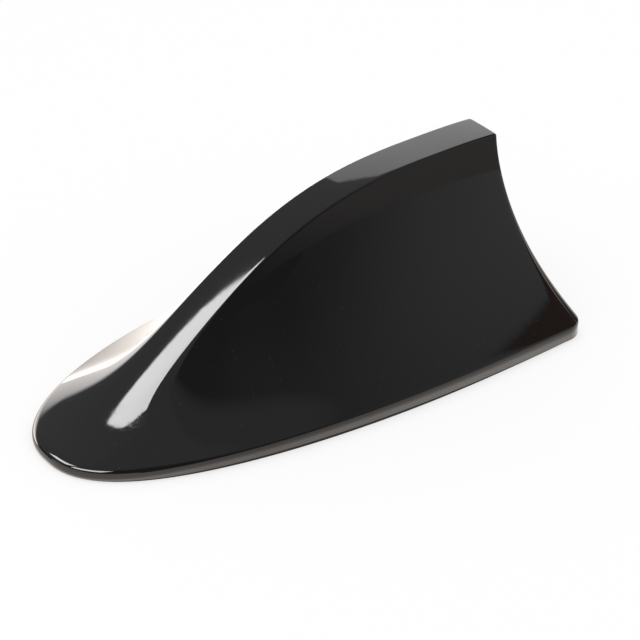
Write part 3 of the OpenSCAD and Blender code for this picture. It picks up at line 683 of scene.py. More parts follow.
@dataclass(frozen=True)
class Floor:
    """White floor that keeps a faint shadow, with levels of its own in reflections.

    Lengths are in metres from the fin's middle. Each span says where a smooth step begins and ends.
    """

    gap: float = 0.00005
    half: float = 6.0
    color: RGBA = opaque(0.9)
    mirrored: RGBA = opaque(1.0, 0.93, 0.87)
    direct_share: float = 0.7
    away: Vec3 = (0.58, 0.815, 0.0)
    rightward: Vec3 = (0.813, -0.582, 0.0)
    near_levels: Pair = (1.6, 0.98)
    near_span: Pair = (-0.085, -0.03)
    behind_levels: Pair = (6.2, 0.8)
    behind_span: Pair = (-0.02, 0.05)
    away_span: Pair = (0.005, 0.1)
    axis_half: float = 0.04
    shade_span: Pair = (0.06, 0.09)
    front_span: Pair = (-0.02, 0.01)
    turn_soft: float = 0.01
    dim_levels: Pair = (0.1, 0.4)
    dim_span: Pair = (0.1, 0.6)
    nose_span: Pair = (-0.9, -0.5)

    def level(self, graph: Graph) -> bpy.types.NodeSocket:
        """Works out how bright the floor is in reflections.

        Args:
            graph: the floor's material.

        Returns:
            The socket of its brightness: high on the far left, dim towards the camera.
        """
        place = graph.add("ShaderNodeTexCoord").outputs["Object"]
        away, aside = graph.dot(place, self.away), graph.dot(place, self.rightward)
        along, across = graph.part(place, 0), graph.part(place, 1)
        behind = graph.ramp(aside, *self.behind_span, *self.behind_levels)
        near = graph.ramp(along, *self.near_span, *self.near_levels)
        lit = graph.ramp(away, *self.away_span, near, behind)
        past = graph.most(graph.math("SUBTRACT", graph.math("ABSOLUTE", along), self.axis_half), 0.0)
        square = graph.math("ADD", graph.times(past, past), graph.times(across, across))
        reach = graph.math("SQRT", square)
        front = graph.ramp(away, *self.front_span, 1.0, 0.0)
        shaded = graph.times(graph.ramp(reach, *self.shade_span), front)
        turn = graph.math("DIVIDE", along, graph.math("ADD", reach, self.turn_soft))
        dim = graph.ramp(turn, *self.dim_span, *self.dim_levels)
        return graph.ramp(shaded, 0.0, 1.0, lit, graph.ramp(turn, *self.nose_span, near, dim))

    def material(self) -> bpy.types.Material:
        """Returns the floor's material, which is clear from below."""
        material = bpy.data.materials.new("white_floor")
        material.use_nodes = True
        graph = Graph(material.node_tree)
        matt = graph.add("ShaderNodeBsdfDiffuse", {"Color": self.color})
        path = graph.add("ShaderNodeLightPath")
        mirrored = path.outputs["Is Glossy Ray"]
        level = graph.ramp(mirrored, 0.0, 1.0, 1.0, self.level(graph))
        color = graph.blend(mirrored, WHITE, self.mirrored)
        glow = graph.add("ShaderNodeEmission", {"Color": color, "Strength": level})
        share = graph.most(graph.times(graph.direct(path), self.direct_share), mirrored)
        below = graph.add("ShaderNodeNewGeometry").outputs["Backfacing"]
        clear = graph.add("ShaderNodeBsdfTransparent")
        whole = graph.laid(below, graph.laid(share, matt, glow), clear)
        graph.add("ShaderNodeOutputMaterial", {"Surface": whole.outputs[0]})
        return material

    def build(self) -> None:
        """Makes the floor."""
        mesh = bpy.data.meshes.new("floor")
        corners = ((-1, -1), (1, -1), (1, 1), (-1, 1))
        mesh.from_pydata([(x * self.half, y * self.half, -self.gap) for x, y in corners], [], [(0, 1, 2, 3)])
        mesh.materials.append(self.material())
        linked("floor", mesh)


@dataclass(frozen=True)
class Lamp:
    """The large overhead lamp, which no reflection shows. Lengths are in metres."""

    watts: float = 3.0
    long: float = 1.2
    wide: float = 0.8
    height: float = 0.9

    def build(self) -> None:
        """Makes the lamp."""
        data = bpy.data.lights.new("overhead", "AREA")
        data.shape, data.size, data.size_y = "RECTANGLE", self.long, self.wide
        data.energy = self.watts
        lamp = linked("overhead", data)
        lamp.location = (0.0, 0.0, self.height)
        lamp.visible_glossy = False


@dataclass(frozen=True)
class Studio:
    """White floor and overhead lamp in a dark room with the soft cards that the gloss mirrors."""

    room: float = 0.1
    plain: float = 0.85
    tint_step: float = 0.02
    floor: Floor = Floor()
    lamp: Lamp = Lamp()
    cards: tuple[LightCard, ...] = (
        # Streak along the crease of the near flank
        LightCard(-142.9, 48.7, 0.193, 0.124, soft=0.015, level=14.0, roll=30.4),
        # Highlight on the lip of the nose
        LightCard(-84.0, 49.0, 0.3, 0.125, soft=0.02, level=14.0),
        # Low backdrop on the far side
        LightCard(170.9, 9.9, 0.675, 0.2, soft=0.22, level=10.0, roll=-25.0, left=-0.158, foot=0.786,
                  tint=(1.0, 0.96, 0.93)),
        # Backdrop behind the tail, mirrored in the crest
        LightCard(137.3, 11.1, 0.52, 0.4, soft=0.03, level=1.75, roll=25.5),
        # Low band on the left, mirrored in the lip
        LightCard(-80.0, 3.0, 1.1, 0.33, soft=0.1, level=1.5, roll=-9.0, tint=(1.0, 0.93, 0.87)),
        # Wall on the right, mirrored in the near flank
        LightCard(24.8, 44.6, 1.739, 0.415, soft=0.05, level=1.003, roll=-73.2, left=-0.228, foot=0.212),
        # Low rim behind the tail
        LightCard(70.0, 4.0, 0.35, 0.2, soft=0.1, level=1.5, tint=(1.0, 0.9, 0.78)),
        # Faint brown on the right
        LightCard(64.6, 30.0, 0.5, 0.5, soft=0.1, level=0.17, tint=(1.0, 0.5, 0.35)),
        # Ceiling
        LightCard(0.0, 90.0, 0.3, 0.3, soft=0.3, level=0.35),
        # Soft sheen on the top of the nose
        LightCard(-173.0, 62.0, 0.75, 0.75, soft=0.35, level=0.42),
    )

    @staticmethod
    def card_group() -> bpy.types.NodeTree:
        """Returns the node group that gives one card's brightness by direction."""
        axis = (0.0, 0.0, 1.0)
        given = {"Direction": axis, "Ahead": axis, "Right": axis, "Up": axis, "Half wide": 1.0,
                 "Half high": 1.0, "Soft": 0.1, "Level": 1.0, "Left": 1.0, "Foot": 1.0}
        graph, source, out = new_group("light_card", given, ("Level",))
        ahead = graph.dot(source["Direction"], source["Ahead"])
        level = graph.times(graph.math("GREATER_THAN", ahead, 0.01), source["Level"])
        for axis_name, half, share in (("Right", "Half wide", "Left"), ("Up", "Half high", "Foot")):
            along = graph.math("DIVIDE", graph.dot(source["Direction"], source[axis_name]), ahead)
            over = graph.math("SUBTRACT", graph.math("ABSOLUTE", along), source[half])
            edge = graph.ramp(over, 0.0, source["Soft"], 1.0, 0.0)
            slant = graph.ramp(graph.math("DIVIDE", along, source[half]), -1.0, 1.0, source[share], 1.0)
            level = graph.times(graph.times(level, edge), slant)
        graph.feed(out["Level"], level)
        return graph.tree

    def build_world(self) -> None:
        """Makes the world: white to the camera, cards in reflections, a plain level otherwise."""
        world = bpy.data.worlds.new("studio")
        bpy.context.scene.world = world
        world.use_nodes = True
        graph = Graph(world.node_tree)
        direction = graph.add("ShaderNodeTexCoord").outputs["Generated"]
        group = self.card_group()
        level: object = self.room
        tint: object = WHITE
        for card in self.cards:
            own = card.seen(graph, group, direction)
            share = graph.ramp(graph.math("SUBTRACT", own, level), 0.0, self.tint_step)
            tint = graph.blend(share, tint, (*card.tint, 1.0))
            level = graph.most(level, own)
        path = graph.add("ShaderNodeLightPath")
        mirrored, plain, shown = (
            graph.add("ShaderNodeBackground", {"Color": color, "Strength": strength})
            for color, strength in ((tint, level), (WHITE, self.plain), (WHITE, 1.0))
        )
        glossy = graph.laid(path.outputs["Is Glossy Ray"], plain, mirrored)
        whole = graph.laid(graph.direct(path), glossy, shown)
        graph.add("ShaderNodeOutputWorld", {"Surface": whole.outputs[0]})

    def build(self) -> None:
        """Builds the whole studio."""
        self.build_world()
        self.floor.build()
        self.lamp.build()
        bpy.context.scene.view_settings.view_transform = "Standard"
        LOG.info("studio: %d cards", len(self.cards))


@dataclass(frozen=True)
class PhotoCamera:
    """The photograph's viewpoint, solved from the fin's outline, in degrees and metres."""

    turn: float = 35.56
    pitch: float = 32.21
    distance: float = 0.7
    aim: Vec3 = (0.0, 0.0, 0.025)
    focal_px: float = 2410.9
    centre_px: Pair = (284.75, 291.8)
    frame_px: float = 640.0
    sensor_mm: float = 36.0

    def build(self) -> None:
        """Makes the camera and gives it to the scene."""
        a, e = math.radians(self.turn), math.radians(self.pitch)
        look = Vector((math.sin(a) * math.cos(e), math.cos(a) * math.cos(e), -math.sin(e)))
        right = Vector((math.cos(a), -math.sin(a), 0.0))
        up = right.cross(look)
        across, down = ((self.frame_px / 2.0 - centre) / self.focal_px for centre in self.centre_px)
        ahead = look + right * across - up * down
        data = bpy.data.cameras.new("photo_camera")
        data.sensor_width = self.sensor_mm
        data.lens = self.focal_px * self.sensor_mm / self.frame_px
        camera = linked("photo_camera", data)
        camera.location = Vector(self.aim) - look * self.distance
        camera.rotation_mode = "QUATERNION"
        camera.rotation_quaternion = ahead.to_track_quat("-Z", "Y")
        bpy.context.scene.camera = camera


class GeometryTree:
    """A Geometry Nodes tree that turns a few carrier points into a plain mesh."""

    def __init__(self, name: str, inputs: dict[str, object]) -> None:
        """Makes the tree's sockets.

        Args:
            name: the tree's name.
            inputs: default of each named input; a material input is always there.
        """
        tree = bpy.data.node_groups.new(name, "GeometryNodeTree")
        tree.interface.new_socket("Geometry", in_out="INPUT", socket_type="NodeSocketGeometry")
        new_inputs(tree, inputs)
        tree.interface.new_socket("Material", in_out="INPUT", socket_type="NodeSocketMaterial")
        tree.interface.new_socket("Geometry", in_out="OUTPUT", socket_type="NodeSocketGeometry")
        self.graph = Graph(tree)
        self.given = self.graph.add("NodeGroupInput").outputs
        self.wanted = self.graph.add("NodeGroupOutput").inputs

    def swept(self, path: bpy.types.Node, sides: object, radius: object) -> bpy.types.NodeSocket:
        """Sweeps a circle along a path and closes its ends.

        Args:
            path: the node that makes the path.
            sides: how many sides the circle has.
            radius: its radius.

        Returns:
            The socket of the mesh.
        """
        ring = self.graph.add("GeometryNodeCurvePrimitiveCircle", {"Resolution": sides, "Radius": radius})
        values = {"Curve": path.outputs[0], "Profile Curve": ring.outputs[0], "Fill Caps": True}
        return self.graph.add("GeometryNodeCurveToMesh", values).outputs[0]

    def at_points(self, shape: bpy.types.NodeSocket, **turns: object) -> bpy.types.NodeSocket:
        """Sets a shape at each carrier point, with a rotation or a scale where given."""
        values = {"Points": self.given["Geometry"], "Instance": shape, **turns}
        return self.graph.add("GeometryNodeInstanceOnPoints", values).outputs[0]

    def close(self, geometry: bpy.types.NodeSocket) -> None:
        """Ends the tree in smooth shading, real geometry and the material.

        Args:
            geometry: the socket of what the tree has made.
        """
        soft = self.graph.add("GeometryNodeSetShadeSmooth", {"Geometry": geometry})
        real = self.graph.add("GeometryNodeRealizeInstances", {"Geometry": soft.outputs[0]})
        values = {"Geometry": real.outputs[0], "Material": self.given["Material"]}
        last = self.graph.add("GeometryNodeSetMaterial", values)
        self.graph.feed(self.wanted["Geometry"], last.outputs[0])

    def make(self, name: str, points: np.ndarray, edges: Sequence[tuple[int, int]],
             values: dict[str, object]) -> bpy.types.Object:
        """Runs the tree on carrier points.

        Args:
            name: the piece's name.
            points: the carrier points, in millimetres from the nose.
            edges: pairs of points that a path joins.
            values: the tree's inputs by name.

        Returns:
            The piece with its plain mesh and no modifier.
        """
        piece = mesh_object(name, points, [], edges=edges)
        modifier = piece.modifiers.new("make", "NODES")
        modifier.node_group = self.graph.tree
        for item in self.graph.tree.interface.items_tree:
            if item.in_out == "INPUT" and item.name in values:
                modifier[item.identifier] = values[item.name]
        return baked(piece, modifier, layers=False)


class WireTree(GeometryTree):
    """Round wire along a path."""

    def __init__(self) -> None:
        """Builds the tree."""
        super().__init__("wound_wire", {"Radius": 0.0005, "Sides": 12})
        path = self.graph.add("GeometryNodeMeshToCurve", {"Mesh": self.given["Geometry"]})
        self.close(self.swept(path, self.given["Sides"], self.given["Radius"]))


class ThreadTree(GeometryTree):
    """Screw thread at each point, climbing from it."""

    def __init__(self) -> None:
        """Builds the tree."""
        super().__init__("screw_thread", {
            "Radius": 0.0012, "Depth": 0.0002, "Height": 0.006, "Turns": 6.0, "Tip": 0.8, "Tilt": 0.0,
        })
        narrow = self.graph.times(self.given["Radius"], self.given["Tip"])
        helix = self.graph.add("GeometryNodeCurveSpiral", {
            "Resolution": 24, "Rotations": self.given["Turns"], "Start Radius": self.given["Radius"],
            "End Radius": narrow, "Height": self.given["Height"],
        })
        tilt = self.graph.add("ShaderNodeCombineXYZ", {"X": self.given["Tilt"]})
        ridge = self.swept(helix, 4, self.given["Depth"])
        self.close(self.at_points(ridge, Rotation=tilt.outputs[0]))


class SolderTree(GeometryTree):
    """A flattened bead of solder at each point, a little different each time."""

    def __init__(self) -> None:
        """Builds the tree."""
        super().__init__("solder_beads", {"Radius": 0.0005, "Height": 0.5, "Seed": 3})
        values = {"Radius": self.given["Radius"], "Subdivisions": 2}
        bead = self.graph.add("GeometryNodeMeshIcoSphere", values)
        flat = self.graph.add("ShaderNodeCombineXYZ", {"X": 1.0, "Y": 1.0, "Z": self.given["Height"]})
        where = self.graph.add("GeometryNodeInputPosition").outputs[0]
        noise = self.graph.add("ShaderNodeTexWhiteNoise", {"Vector": where, "W": self.given["Seed"]},
                               noise_dimensions="4D")
        size = self.graph.math("MULTIPLY_ADD", noise.outputs["Value"], 0.25, 0.85)
        values = {0: flat.outputs[0], "Scale": size}
        scaled = self.graph.add("ShaderNodeVectorMath", values, operation="SCALE")
        self.close(self.at_points(bead.outputs[0], Scale=scaled.outputs[0]))


class Effects:
    """Shader node groups that several finishes share, each built once."""

    def __init__(self) -> None:
        """Builds the groups."""
        self.grain = self.build_grain()
        self.hairlines = self.build_hairlines()
        self.dust = self.build_dust()
        self.rub = self.build_rub()

    @staticmethod
    def build_grain() -> bpy.types.NodeTree:
        """Returns fine noise with a cell size in metres."""
        given = {"Place": (0.0, 0.0, 0.0), "Cell": 0.001, "Detail": 3.0}
        graph, source, out = new_group("surface_grain", given, ("Grain",))
        graph.feed(out["Grain"], graph.noise(source["Place"], source["Cell"], source["Detail"]))
        return graph.tree

    @staticmethod
    def build_hairlines() -> bpy.types.NodeTree:
        """Returns thin rubbed lines that run one way, in patches."""
        given = {"Place": (0.0, 0.0, 0.0), "Turn": 0.0, "Spacing": 0.002, "Stretch": 0.06, "Fine": 0.03,
                 "Patch": 0.02}
        graph, source, out = new_group("hairline_rubs", given, ("Lines",))
        values = {"Vector": source["Place"], "Angle": source["Turn"]}
        turned = graph.add("ShaderNodeVectorRotate", values, rotation_type="Z_AXIS")
        shape = graph.add("ShaderNodeCombineXYZ", {"X": source["Stretch"], "Y": 1.0, "Z": 1.0})
        values = {0: turned.outputs[0], 1: shape.outputs[0]}
        long = graph.add("ShaderNodeVectorMath", values, operation="MULTIPLY")
        noise = graph.noise(long.outputs[0], source["Spacing"], 1.0)
        middle = graph.math("ABSOLUTE", graph.math("SUBTRACT", noise, 0.5))
        line = graph.ramp(middle, 0.0, source["Fine"], 1.0, 0.0)
        patches = graph.ramp(graph.noise(source["Place"], source["Patch"], 1.0), 0.46, 0.62)
        graph.feed(out["Lines"], graph.times(line, patches))
        return graph.tree

    @staticmethod
    def build_dust() -> bpy.types.NodeTree:
        """Returns sparse specks, thicker on faces that look up."""
        given = {"Place": (0.0, 0.0, 0.0), "Speck": 0.001, "Share": 0.1}
        graph, source, out = new_group("settled_dust", given, ("Dust",))
        cells = graph.cells(source["Place"], graph.math("DIVIDE", 1.0, source["Speck"]))
        chosen = graph.part(cells.outputs["Color"], 0)
        dot = graph.ramp(cells.outputs["Distance"], 0.05, 0.22, 1.0, 0.0)
        kept = graph.math("LESS_THAN", chosen, source["Share"])
        facing = graph.part(graph.add("ShaderNodeNewGeometry").outputs["Normal"], 2)
        level = graph.ramp(facing, -0.2, 0.9, 0.15, 1.0)
        graph.feed(out["Dust"], graph.times(graph.times(dot, kept), level))
        return graph.tree

    @staticmethod
    def build_rub() -> bpy.types.NodeTree:
        """Returns worn outer edges, broken up by noise."""
        given = {"Place": (0.0, 0.0, 0.0), "Cell": 0.003, "Start": 0.52}
        graph, source, out = new_group("edge_rub", given, ("Rub",))
        point = graph.add("ShaderNodeNewGeometry").outputs["Pointiness"]
        edge = graph.ramp(point, source["Start"], graph.math("ADD", source["Start"], 0.08))
        broken = graph.ramp(graph.noise(source["Place"], source["Cell"], 3.0), 0.38, 0.62)
        graph.feed(out["Rub"], graph.times(edge, broken))
        return graph.tree


class Bench:
    """One material under construction: its graph, its place and its shader."""

    def __init__(self, name: str, effects: Effects) -> None:
        """Starts the material.

        Args:
            name: the material's name.
            effects: the shared groups.
        """
        self.material = bpy.data.materials.new(name)
        self.material.use_nodes = True
        self.graph = Graph(self.material.node_tree)
        self.effects = effects
        self.place = self.graph.add("ShaderNodeTexCoord").outputs["Object"]
        self.shader = self.graph.add("ShaderNodeBsdfPrincipled")
        self.graph.add("ShaderNodeOutputMaterial", {"Surface": self.shader.outputs[0]})

    def set(self, **values: object) -> None:
        """Sets the shader's sockets, with an underscore for each space in a name."""
        for name, value in values.items():
            self.graph.feed(self.shader.inputs[name.replace("_", " ")], value)

    def group(self, tree: bpy.types.NodeTree, **values: object) -> bpy.types.NodeSocket:
        """Places a shared group at the object's coordinates and returns its output."""
        return self.graph.add("ShaderNodeGroup", {"Place": self.place, **values}, node_tree=tree).outputs[0]

    def grain(self, cell: float, detail: float = 3.0) -> bpy.types.NodeSocket:
        """Returns noise of a cell size in metres."""
        return self.group(self.effects.grain, Cell=cell, Detail=detail)

    def bump(self, height: bpy.types.NodeSocket, depth: float, strength: float,
             under: bpy.types.NodeSocket | None = None) -> bpy.types.NodeSocket:
        """Feeds a height to the shader's normal.

        Args:
            height: the height from 0 to 1.
            depth: its depth in metres.
            strength: the share of the effect.
            under: a normal that it lies on.

        Returns:
            The bent normal.
        """
        node = self.graph.add("ShaderNodeBump", {"Height": height, "Distance": depth, "Strength": strength})
        if under is not None:
            self.graph.feed(node.inputs["Normal"], under)
        self.graph.feed(self.shader.inputs["Normal"], node.outputs[0])
        return node.outputs[0]


@dataclass(frozen=True)
class GlossPlastic:
    """Gloss black moulding with orange peel, faint haze and rubbed lines on the nose."""

    color: RGBA = opaque(0.005, 0.005, 0.0055)
    dust_color: RGBA = opaque(0.05, 0.048, 0.045)
    dust_share: float = 0.6
    roughness: float = 0.045
    uneven: float = 0.01
    uneven_cell: float = 0.012
    hazed: float = 0.16
    haze_at: Vec3 = (-0.0595, -0.012, 0.0095)
    haze_reach: float = 0.014
    haze_cell: float = 0.004
    cloud_share: float = 0.35
    rub_depth: float = 0.000002
    peel_cell: float = 0.0035
    peel_depth: float = 0.000012

    def build(self, name: str, effects: Effects) -> bpy.types.Material:
        """Makes the material.

        Args:
            name: its name.
            effects: the shared groups.

        Returns:
            The material.
        """
        bench = Bench(name, effects)
        graph = bench.graph
        far = graph.add("ShaderNodeVectorMath", {0: bench.place, 1: self.haze_at}, operation="DISTANCE")
        near = graph.ramp(far.outputs["Value"], 0.2 * self.haze_reach, self.haze_reach, 1.0, 0.0)
        lines = bench.group(effects.hairlines, Turn=0.9, Spacing=0.0011, Fine=0.035, Patch=0.006)
        crossing = bench.group(effects.hairlines, Turn=-0.5, Spacing=0.0016, Fine=0.02, Patch=0.009)
        rubs = graph.times(graph.most(lines, crossing), near)
        cloud = graph.times(graph.ramp(bench.grain(self.haze_cell), 0.42, 0.7), near)
        dust = bench.group(effects.dust, Speck=0.0011, Share=0.07)
        haze = graph.math("MULTIPLY_ADD", cloud, self.cloud_share, rubs)
        levels = (self.roughness - self.uneven, self.roughness + self.uneven)
        even = graph.ramp(bench.grain(self.uneven_cell), 0.3, 0.7, *levels)
        rough = graph.math("MULTIPLY_ADD", haze, self.hazed, even)
        color = graph.blend(graph.times(dust, self.dust_share), self.color, self.dust_color)
        bench.set(Base_Color=color, Roughness=rough, IOR=1.5)
        peel = bench.bump(bench.grain(self.peel_cell, 1.0), self.peel_depth, 0.35)
        bench.bump(rubs, self.rub_depth, 0.6, peel)
        return bench.material


@dataclass(frozen=True)
class Moulding:
    """Matt or satin moulded material: rubber, plastic, foam, ferrite or ceramic."""

    color: RGBA
    worn: RGBA
    roughness: float
    cell: float = 0.0006
    depth: float = 0.00003
    speck: float = 0.0012
    share: float = 0.12
    # Share of the colour in the darker tone, which is both a random tone and the painted shade in pore pits
    shaded: float = 0.72
    cloud_cells: float = 14.0
    uneven: float = 0.06
    tin: RGBA = opaque(0.62, 0.62, 0.6)
    tin_roughness: float = 0.35
    # Pores: pitted bumps, with painted shade darkening the pits
    pores: bool = False
    tinned_ends: bool = False

    def build(self, name: str, effects: Effects) -> bpy.types.Material:
        """Makes the material.

        Args:
            name: its name.
            effects: the shared groups.

        Returns:
            The material.
        """
        bench = Bench(name, effects)
        graph = bench.graph
        fine = bench.grain(self.cell)
        rub = bench.group(effects.rub, Cell=self.cell * 4.0)
        dust = bench.group(effects.dust, Speck=self.speck, Share=self.share)
        # Darker tone, used at random over the surface and as painted shade in pore pits
        dark_tone_and_pit_shade = opaque(*(channel * self.shaded for channel in self.color[:3]))
        cloud = graph.ramp(bench.grain(self.cell * self.cloud_cells), 0.3, 0.7)
        color = graph.blend(cloud, dark_tone_and_pit_shade, self.color)
        marks = graph.most(graph.times(rub, 0.5), graph.times(dust, 0.7))
        color = graph.blend(marks, color, self.worn)
        levels = (self.roughness - self.uneven, self.roughness + self.uneven)
        rough = graph.ramp(fine, 0.25, 0.75, *levels)
        height = fine
        if self.pores:
            walls = graph.cells(bench.place, 1.0 / self.cell).outputs["Distance"]
            height = graph.times(walls, graph.math("ADD", fine, 0.5))
            # Pits of the pores painted darker: painted shade in the recesses
            color = graph.blend(graph.ramp(walls, 0.1, 0.5), dark_tone_and_pit_shade, color)
        if self.tinned_ends:
            facing = graph.part(graph.add("ShaderNodeNewGeometry").outputs["Normal"], 0)
            end = graph.ramp(graph.math("ABSOLUTE", facing), 0.5, 0.8)
            color = graph.blend(end, color, self.tin)
            bench.set(Metallic=end)
            rough = graph.ramp(end, 0.0, 1.0, rough, self.tin_roughness)
        bench.set(Base_Color=color, Roughness=rough)
        bench.bump(height, self.depth, 0.6)
        return bench.material


@dataclass(frozen=True)
class Metal:
    """Bare, plated or varnished metal with brushing and a little tarnish."""

    color: RGBA
    tarnish: RGBA
    roughness: float
    brush: float = 0.0
    brush_rough: float = 0.16
    brush_depth: float = 0.000004
    stain_cell: float = 0.005
    brightened: float = 1.2
    spangle: float = 0.0
    spangle_rough: float = 0.12
    varnish: float = 0.0
    varnish_roughness: float = 0.12

    def build(self, name: str, effects: Effects) -> bpy.types.Material:
        """Makes the material.

        Args:
            name: its name.
            effects: the shared groups.

        Returns:
            The material.
        """
        bench = Bench(name, effects)
        graph = bench.graph
        lines = bench.group(effects.hairlines, Turn=self.brush, Spacing=0.0004, Stretch=0.05,
                            Fine=0.12, Patch=0.004)
        stains = graph.ramp(bench.grain(self.stain_cell), 0.45, 0.75)
        rub = bench.group(effects.rub, Cell=0.0015)
        bright = opaque(*(min(1.0, self.brightened * channel) for channel in self.color[:3]))
        color = graph.blend(graph.times(stains, 0.6), self.color, self.tarnish)
        color = graph.blend(graph.times(rub, 0.5), color, bright)
        rough = graph.math("MULTIPLY_ADD", lines, self.brush_rough, self.roughness)
        if self.spangle:
            crystals = graph.cells(bench.place, 1.0 / self.spangle)
            tone = graph.part(crystals.outputs["Color"], 0)
            rough = graph.math("MULTIPLY_ADD", tone, self.spangle_rough, rough)
        bench.set(Base_Color=color, Roughness=rough, Metallic=1.0)
        bench.set(Coat_Weight=self.varnish, Coat_Roughness=self.varnish_roughness)
        bench.bump(lines, self.brush_depth, 0.5)
        return bench.material


@dataclass(frozen=True)
class BoardLaminate:
    """Green solder mask over copper tracks, with tinned vias."""

    mask: RGBA = opaque(0.012, 0.085, 0.028)
    track: RGBA = opaque(0.03, 0.17, 0.055)
    tin: RGBA = opaque(0.62, 0.61, 0.58)
    roughness: float = 0.28
    uneven: float = 0.06
    grain_cell: float = 0.0009
    track_rows: Places = ((0.0042, 0.5), (0.0067, 0.33))
    track_stretch: float = 3.1
    track_gap: float = 0.00028
    vias: float = 190.0
    copper_depth: float = 0.00003

    def build(self, name: str, effects: Effects) -> bpy.types.Material:
        """Makes the material.

        Args:
            name: its name.
            effects: the shared groups.

        Returns:
            The material.
        """
        bench = Bench(name, effects)
        graph = bench.graph
        tracks: object = 0.0
        for size, offset in self.track_rows:
            bricks = graph.add("ShaderNodeTexBrick", {
                "Vector": bench.place, "Scale": 1.0, "Brick Width": size * self.track_stretch,
                "Row Height": size, "Mortar Size": self.track_gap, "Mortar Smooth": 0.1,
            }, offset=offset)
            tracks = graph.most(tracks, bricks.outputs["Fac"])
        spots = graph.cells(bench.place, self.vias)
        via = graph.ramp(spots.outputs["Distance"], 0.07, 0.09, 1.0, 0.0)
        color = graph.blend(graph.times(tracks, 0.8), self.mask, self.track)
        color = graph.blend(via, color, self.tin)
        grain = bench.grain(self.grain_cell)
        rough = graph.math("MULTIPLY_ADD", grain, 2.0 * self.uneven, self.roughness - self.uneven)
        bench.set(Base_Color=color, Roughness=rough, Metallic=via)
        bench.bump(graph.most(tracks, via), self.copper_depth, 0.7)
        return bench.material


class FinishShelf:
    """The finish of every material slot, each built once."""

    FINISHES: dict[Slot, object] = {
        Slot.COVER: GlossPlastic(),
        Slot.RUBBER: Moulding(opaque(0.012), opaque(0.06, 0.058, 0.055), 0.72, cell=0.0005, depth=0.00002),
        Slot.BASE: Moulding(opaque(0.022, 0.022, 0.024), opaque(0.07), 0.46, cell=0.0004, depth=0.000015),
        Slot.FOAM: Moulding(opaque(0.055, 0.055, 0.06), opaque(0.12), 0.86, cell=0.0007, depth=0.00018,
                            pores=True),
        Slot.STEEL: Metal(opaque(0.62, 0.62, 0.64), opaque(0.5, 0.47, 0.4), 0.26, brush=0.3),
        Slot.BOARD: BoardLaminate(),
        Slot.SHEET: Metal(opaque(0.7, 0.71, 0.72), opaque(0.55, 0.55, 0.54), 0.24, brush=0.05,
                          spangle=0.006),
        Slot.CHIP: Moulding(opaque(0.018, 0.018, 0.02), opaque(0.06), 0.58, cell=0.0002, depth=0.00001),
        Slot.CERAMIC: Moulding(opaque(0.42, 0.29, 0.16), opaque(0.55, 0.42, 0.28), 0.4, cell=0.0003,
                               depth=0.000005, tinned_ends=True),
        Slot.CAN: Metal(opaque(0.72, 0.73, 0.74), opaque(0.6), 0.3, brush=1.57),
        Slot.FERRITE: Moulding(opaque(0.035, 0.036, 0.04), opaque(0.12), 0.5, cell=0.00025,
                               depth=0.00001),
        Slot.WIRE: Metal(opaque(0.62, 0.27, 0.12), opaque(0.4, 0.13, 0.05), 0.22, brush=0.8, varnish=0.8),
        Slot.NYLON: Moulding(opaque(0.72, 0.69, 0.6), opaque(0.8, 0.78, 0.72), 0.44, cell=0.0006,
                             depth=0.00001),
        Slot.BRASS: Metal(opaque(0.7, 0.5, 0.2), opaque(0.5, 0.33, 0.12), 0.2, brush=1.2),
    }

    def __init__(self) -> None:
        """Builds the shared groups."""
        self.effects = Effects()
        self.made: dict[Slot, bpy.types.Material] = {}

    def take(self, slot: Slot) -> bpy.types.Material:
        """Returns a slot's material, built at its first use."""
        if slot not in self.made:
            self.made[slot] = self.FINISHES[slot].build(slot.value, self.effects)
        return self.made[slot]


def revolved(profile: Sequence[Pair], centre: Pair, sides: int) -> tuple[np.ndarray, list[tuple[int, ...]]]:
    """Turns a closed profile about an upright axis.

    Args:
        profile: radius and height of each point, round the section.
        centre: x and y of the axis in millimetres.
        sides: how many steps the turn has.

    Returns:
        The points and the faces.
    """
    rings = [[(*place, z) for place in circle(centre, r, sides)] for r, z in profile]
    points = [point for column in zip(*rings) for point in column]
    count = len(profile)
    faces = []
    for k in range(sides):
        for i in range(count):
            j, after = (i + 1) % count, (k + 1) % sides
            faces.append((k * count + i, after * count + i, after * count + j, k * count + j))
    return np.array(points), faces


def rounded_profile(corners: Sequence[Pair], radius: float, steps: int, most: float = 0.45) -> list[Pair]:
    """Rounds every corner of a closed profile.

    Args:
        corners: the sharp corners, in order.
        radius: how far from each corner the rounding starts.
        steps: how many steps each rounding has.
        most: the greatest share of a side that a rounding takes.

    Returns:
        The rounded profile.
    """
    out = []
    for i, corner in enumerate(corners):
        here = np.array(corner)
        sides = [np.array(corners[j]) - here for j in (i - 1, (i + 1) % len(corners))]
        reach = min(radius, *(most * np.linalg.norm(side) for side in sides))
        start, end = (here + side / np.linalg.norm(side) * reach for side in sides)
        out += [tuple(point) for point in CoverShape.rounding(start, here, end, steps)]
    return out


def block_of(points: np.ndarray, faces: Iterable[Sequence[int]]) -> bmesh.types.BMesh:
    """Makes a bmesh.

    Args:
        points: one row of x, y, z for each point, in millimetres from the nose.
        faces: the points of each face.

    Returns:
        The bmesh, in the row frame's metres.
    """
    block = bmesh.new()
    dots = [block.verts.new(point) for point in placed(points).tolist()]
    for face in faces:
        block.faces.new([dots[i] for i in face])
    return block


def round_edges(block: bmesh.types.BMesh, over: float, width: float, clamp: bool) -> None:
    """Rounds the edges that turn by more than an angle.

    Args:
        block: the bmesh to change.
        over: the angle in degrees.
        width: how wide the rounded edges are, in millimetres.
        clamp: whether the rounding of one edge stops at that of the next.
    """
    turn = math.radians(over)
    sharp = [edge for edge in block.edges if len(edge.link_faces) == 2 and edge.calc_face_angle(0.0) > turn]
    bmesh.ops.bevel(block, geom=sharp, offset=width * MM, offset_type="OFFSET", segments=2, profile=0.5,
                    affect="EDGES", clamp_overlap=clamp)


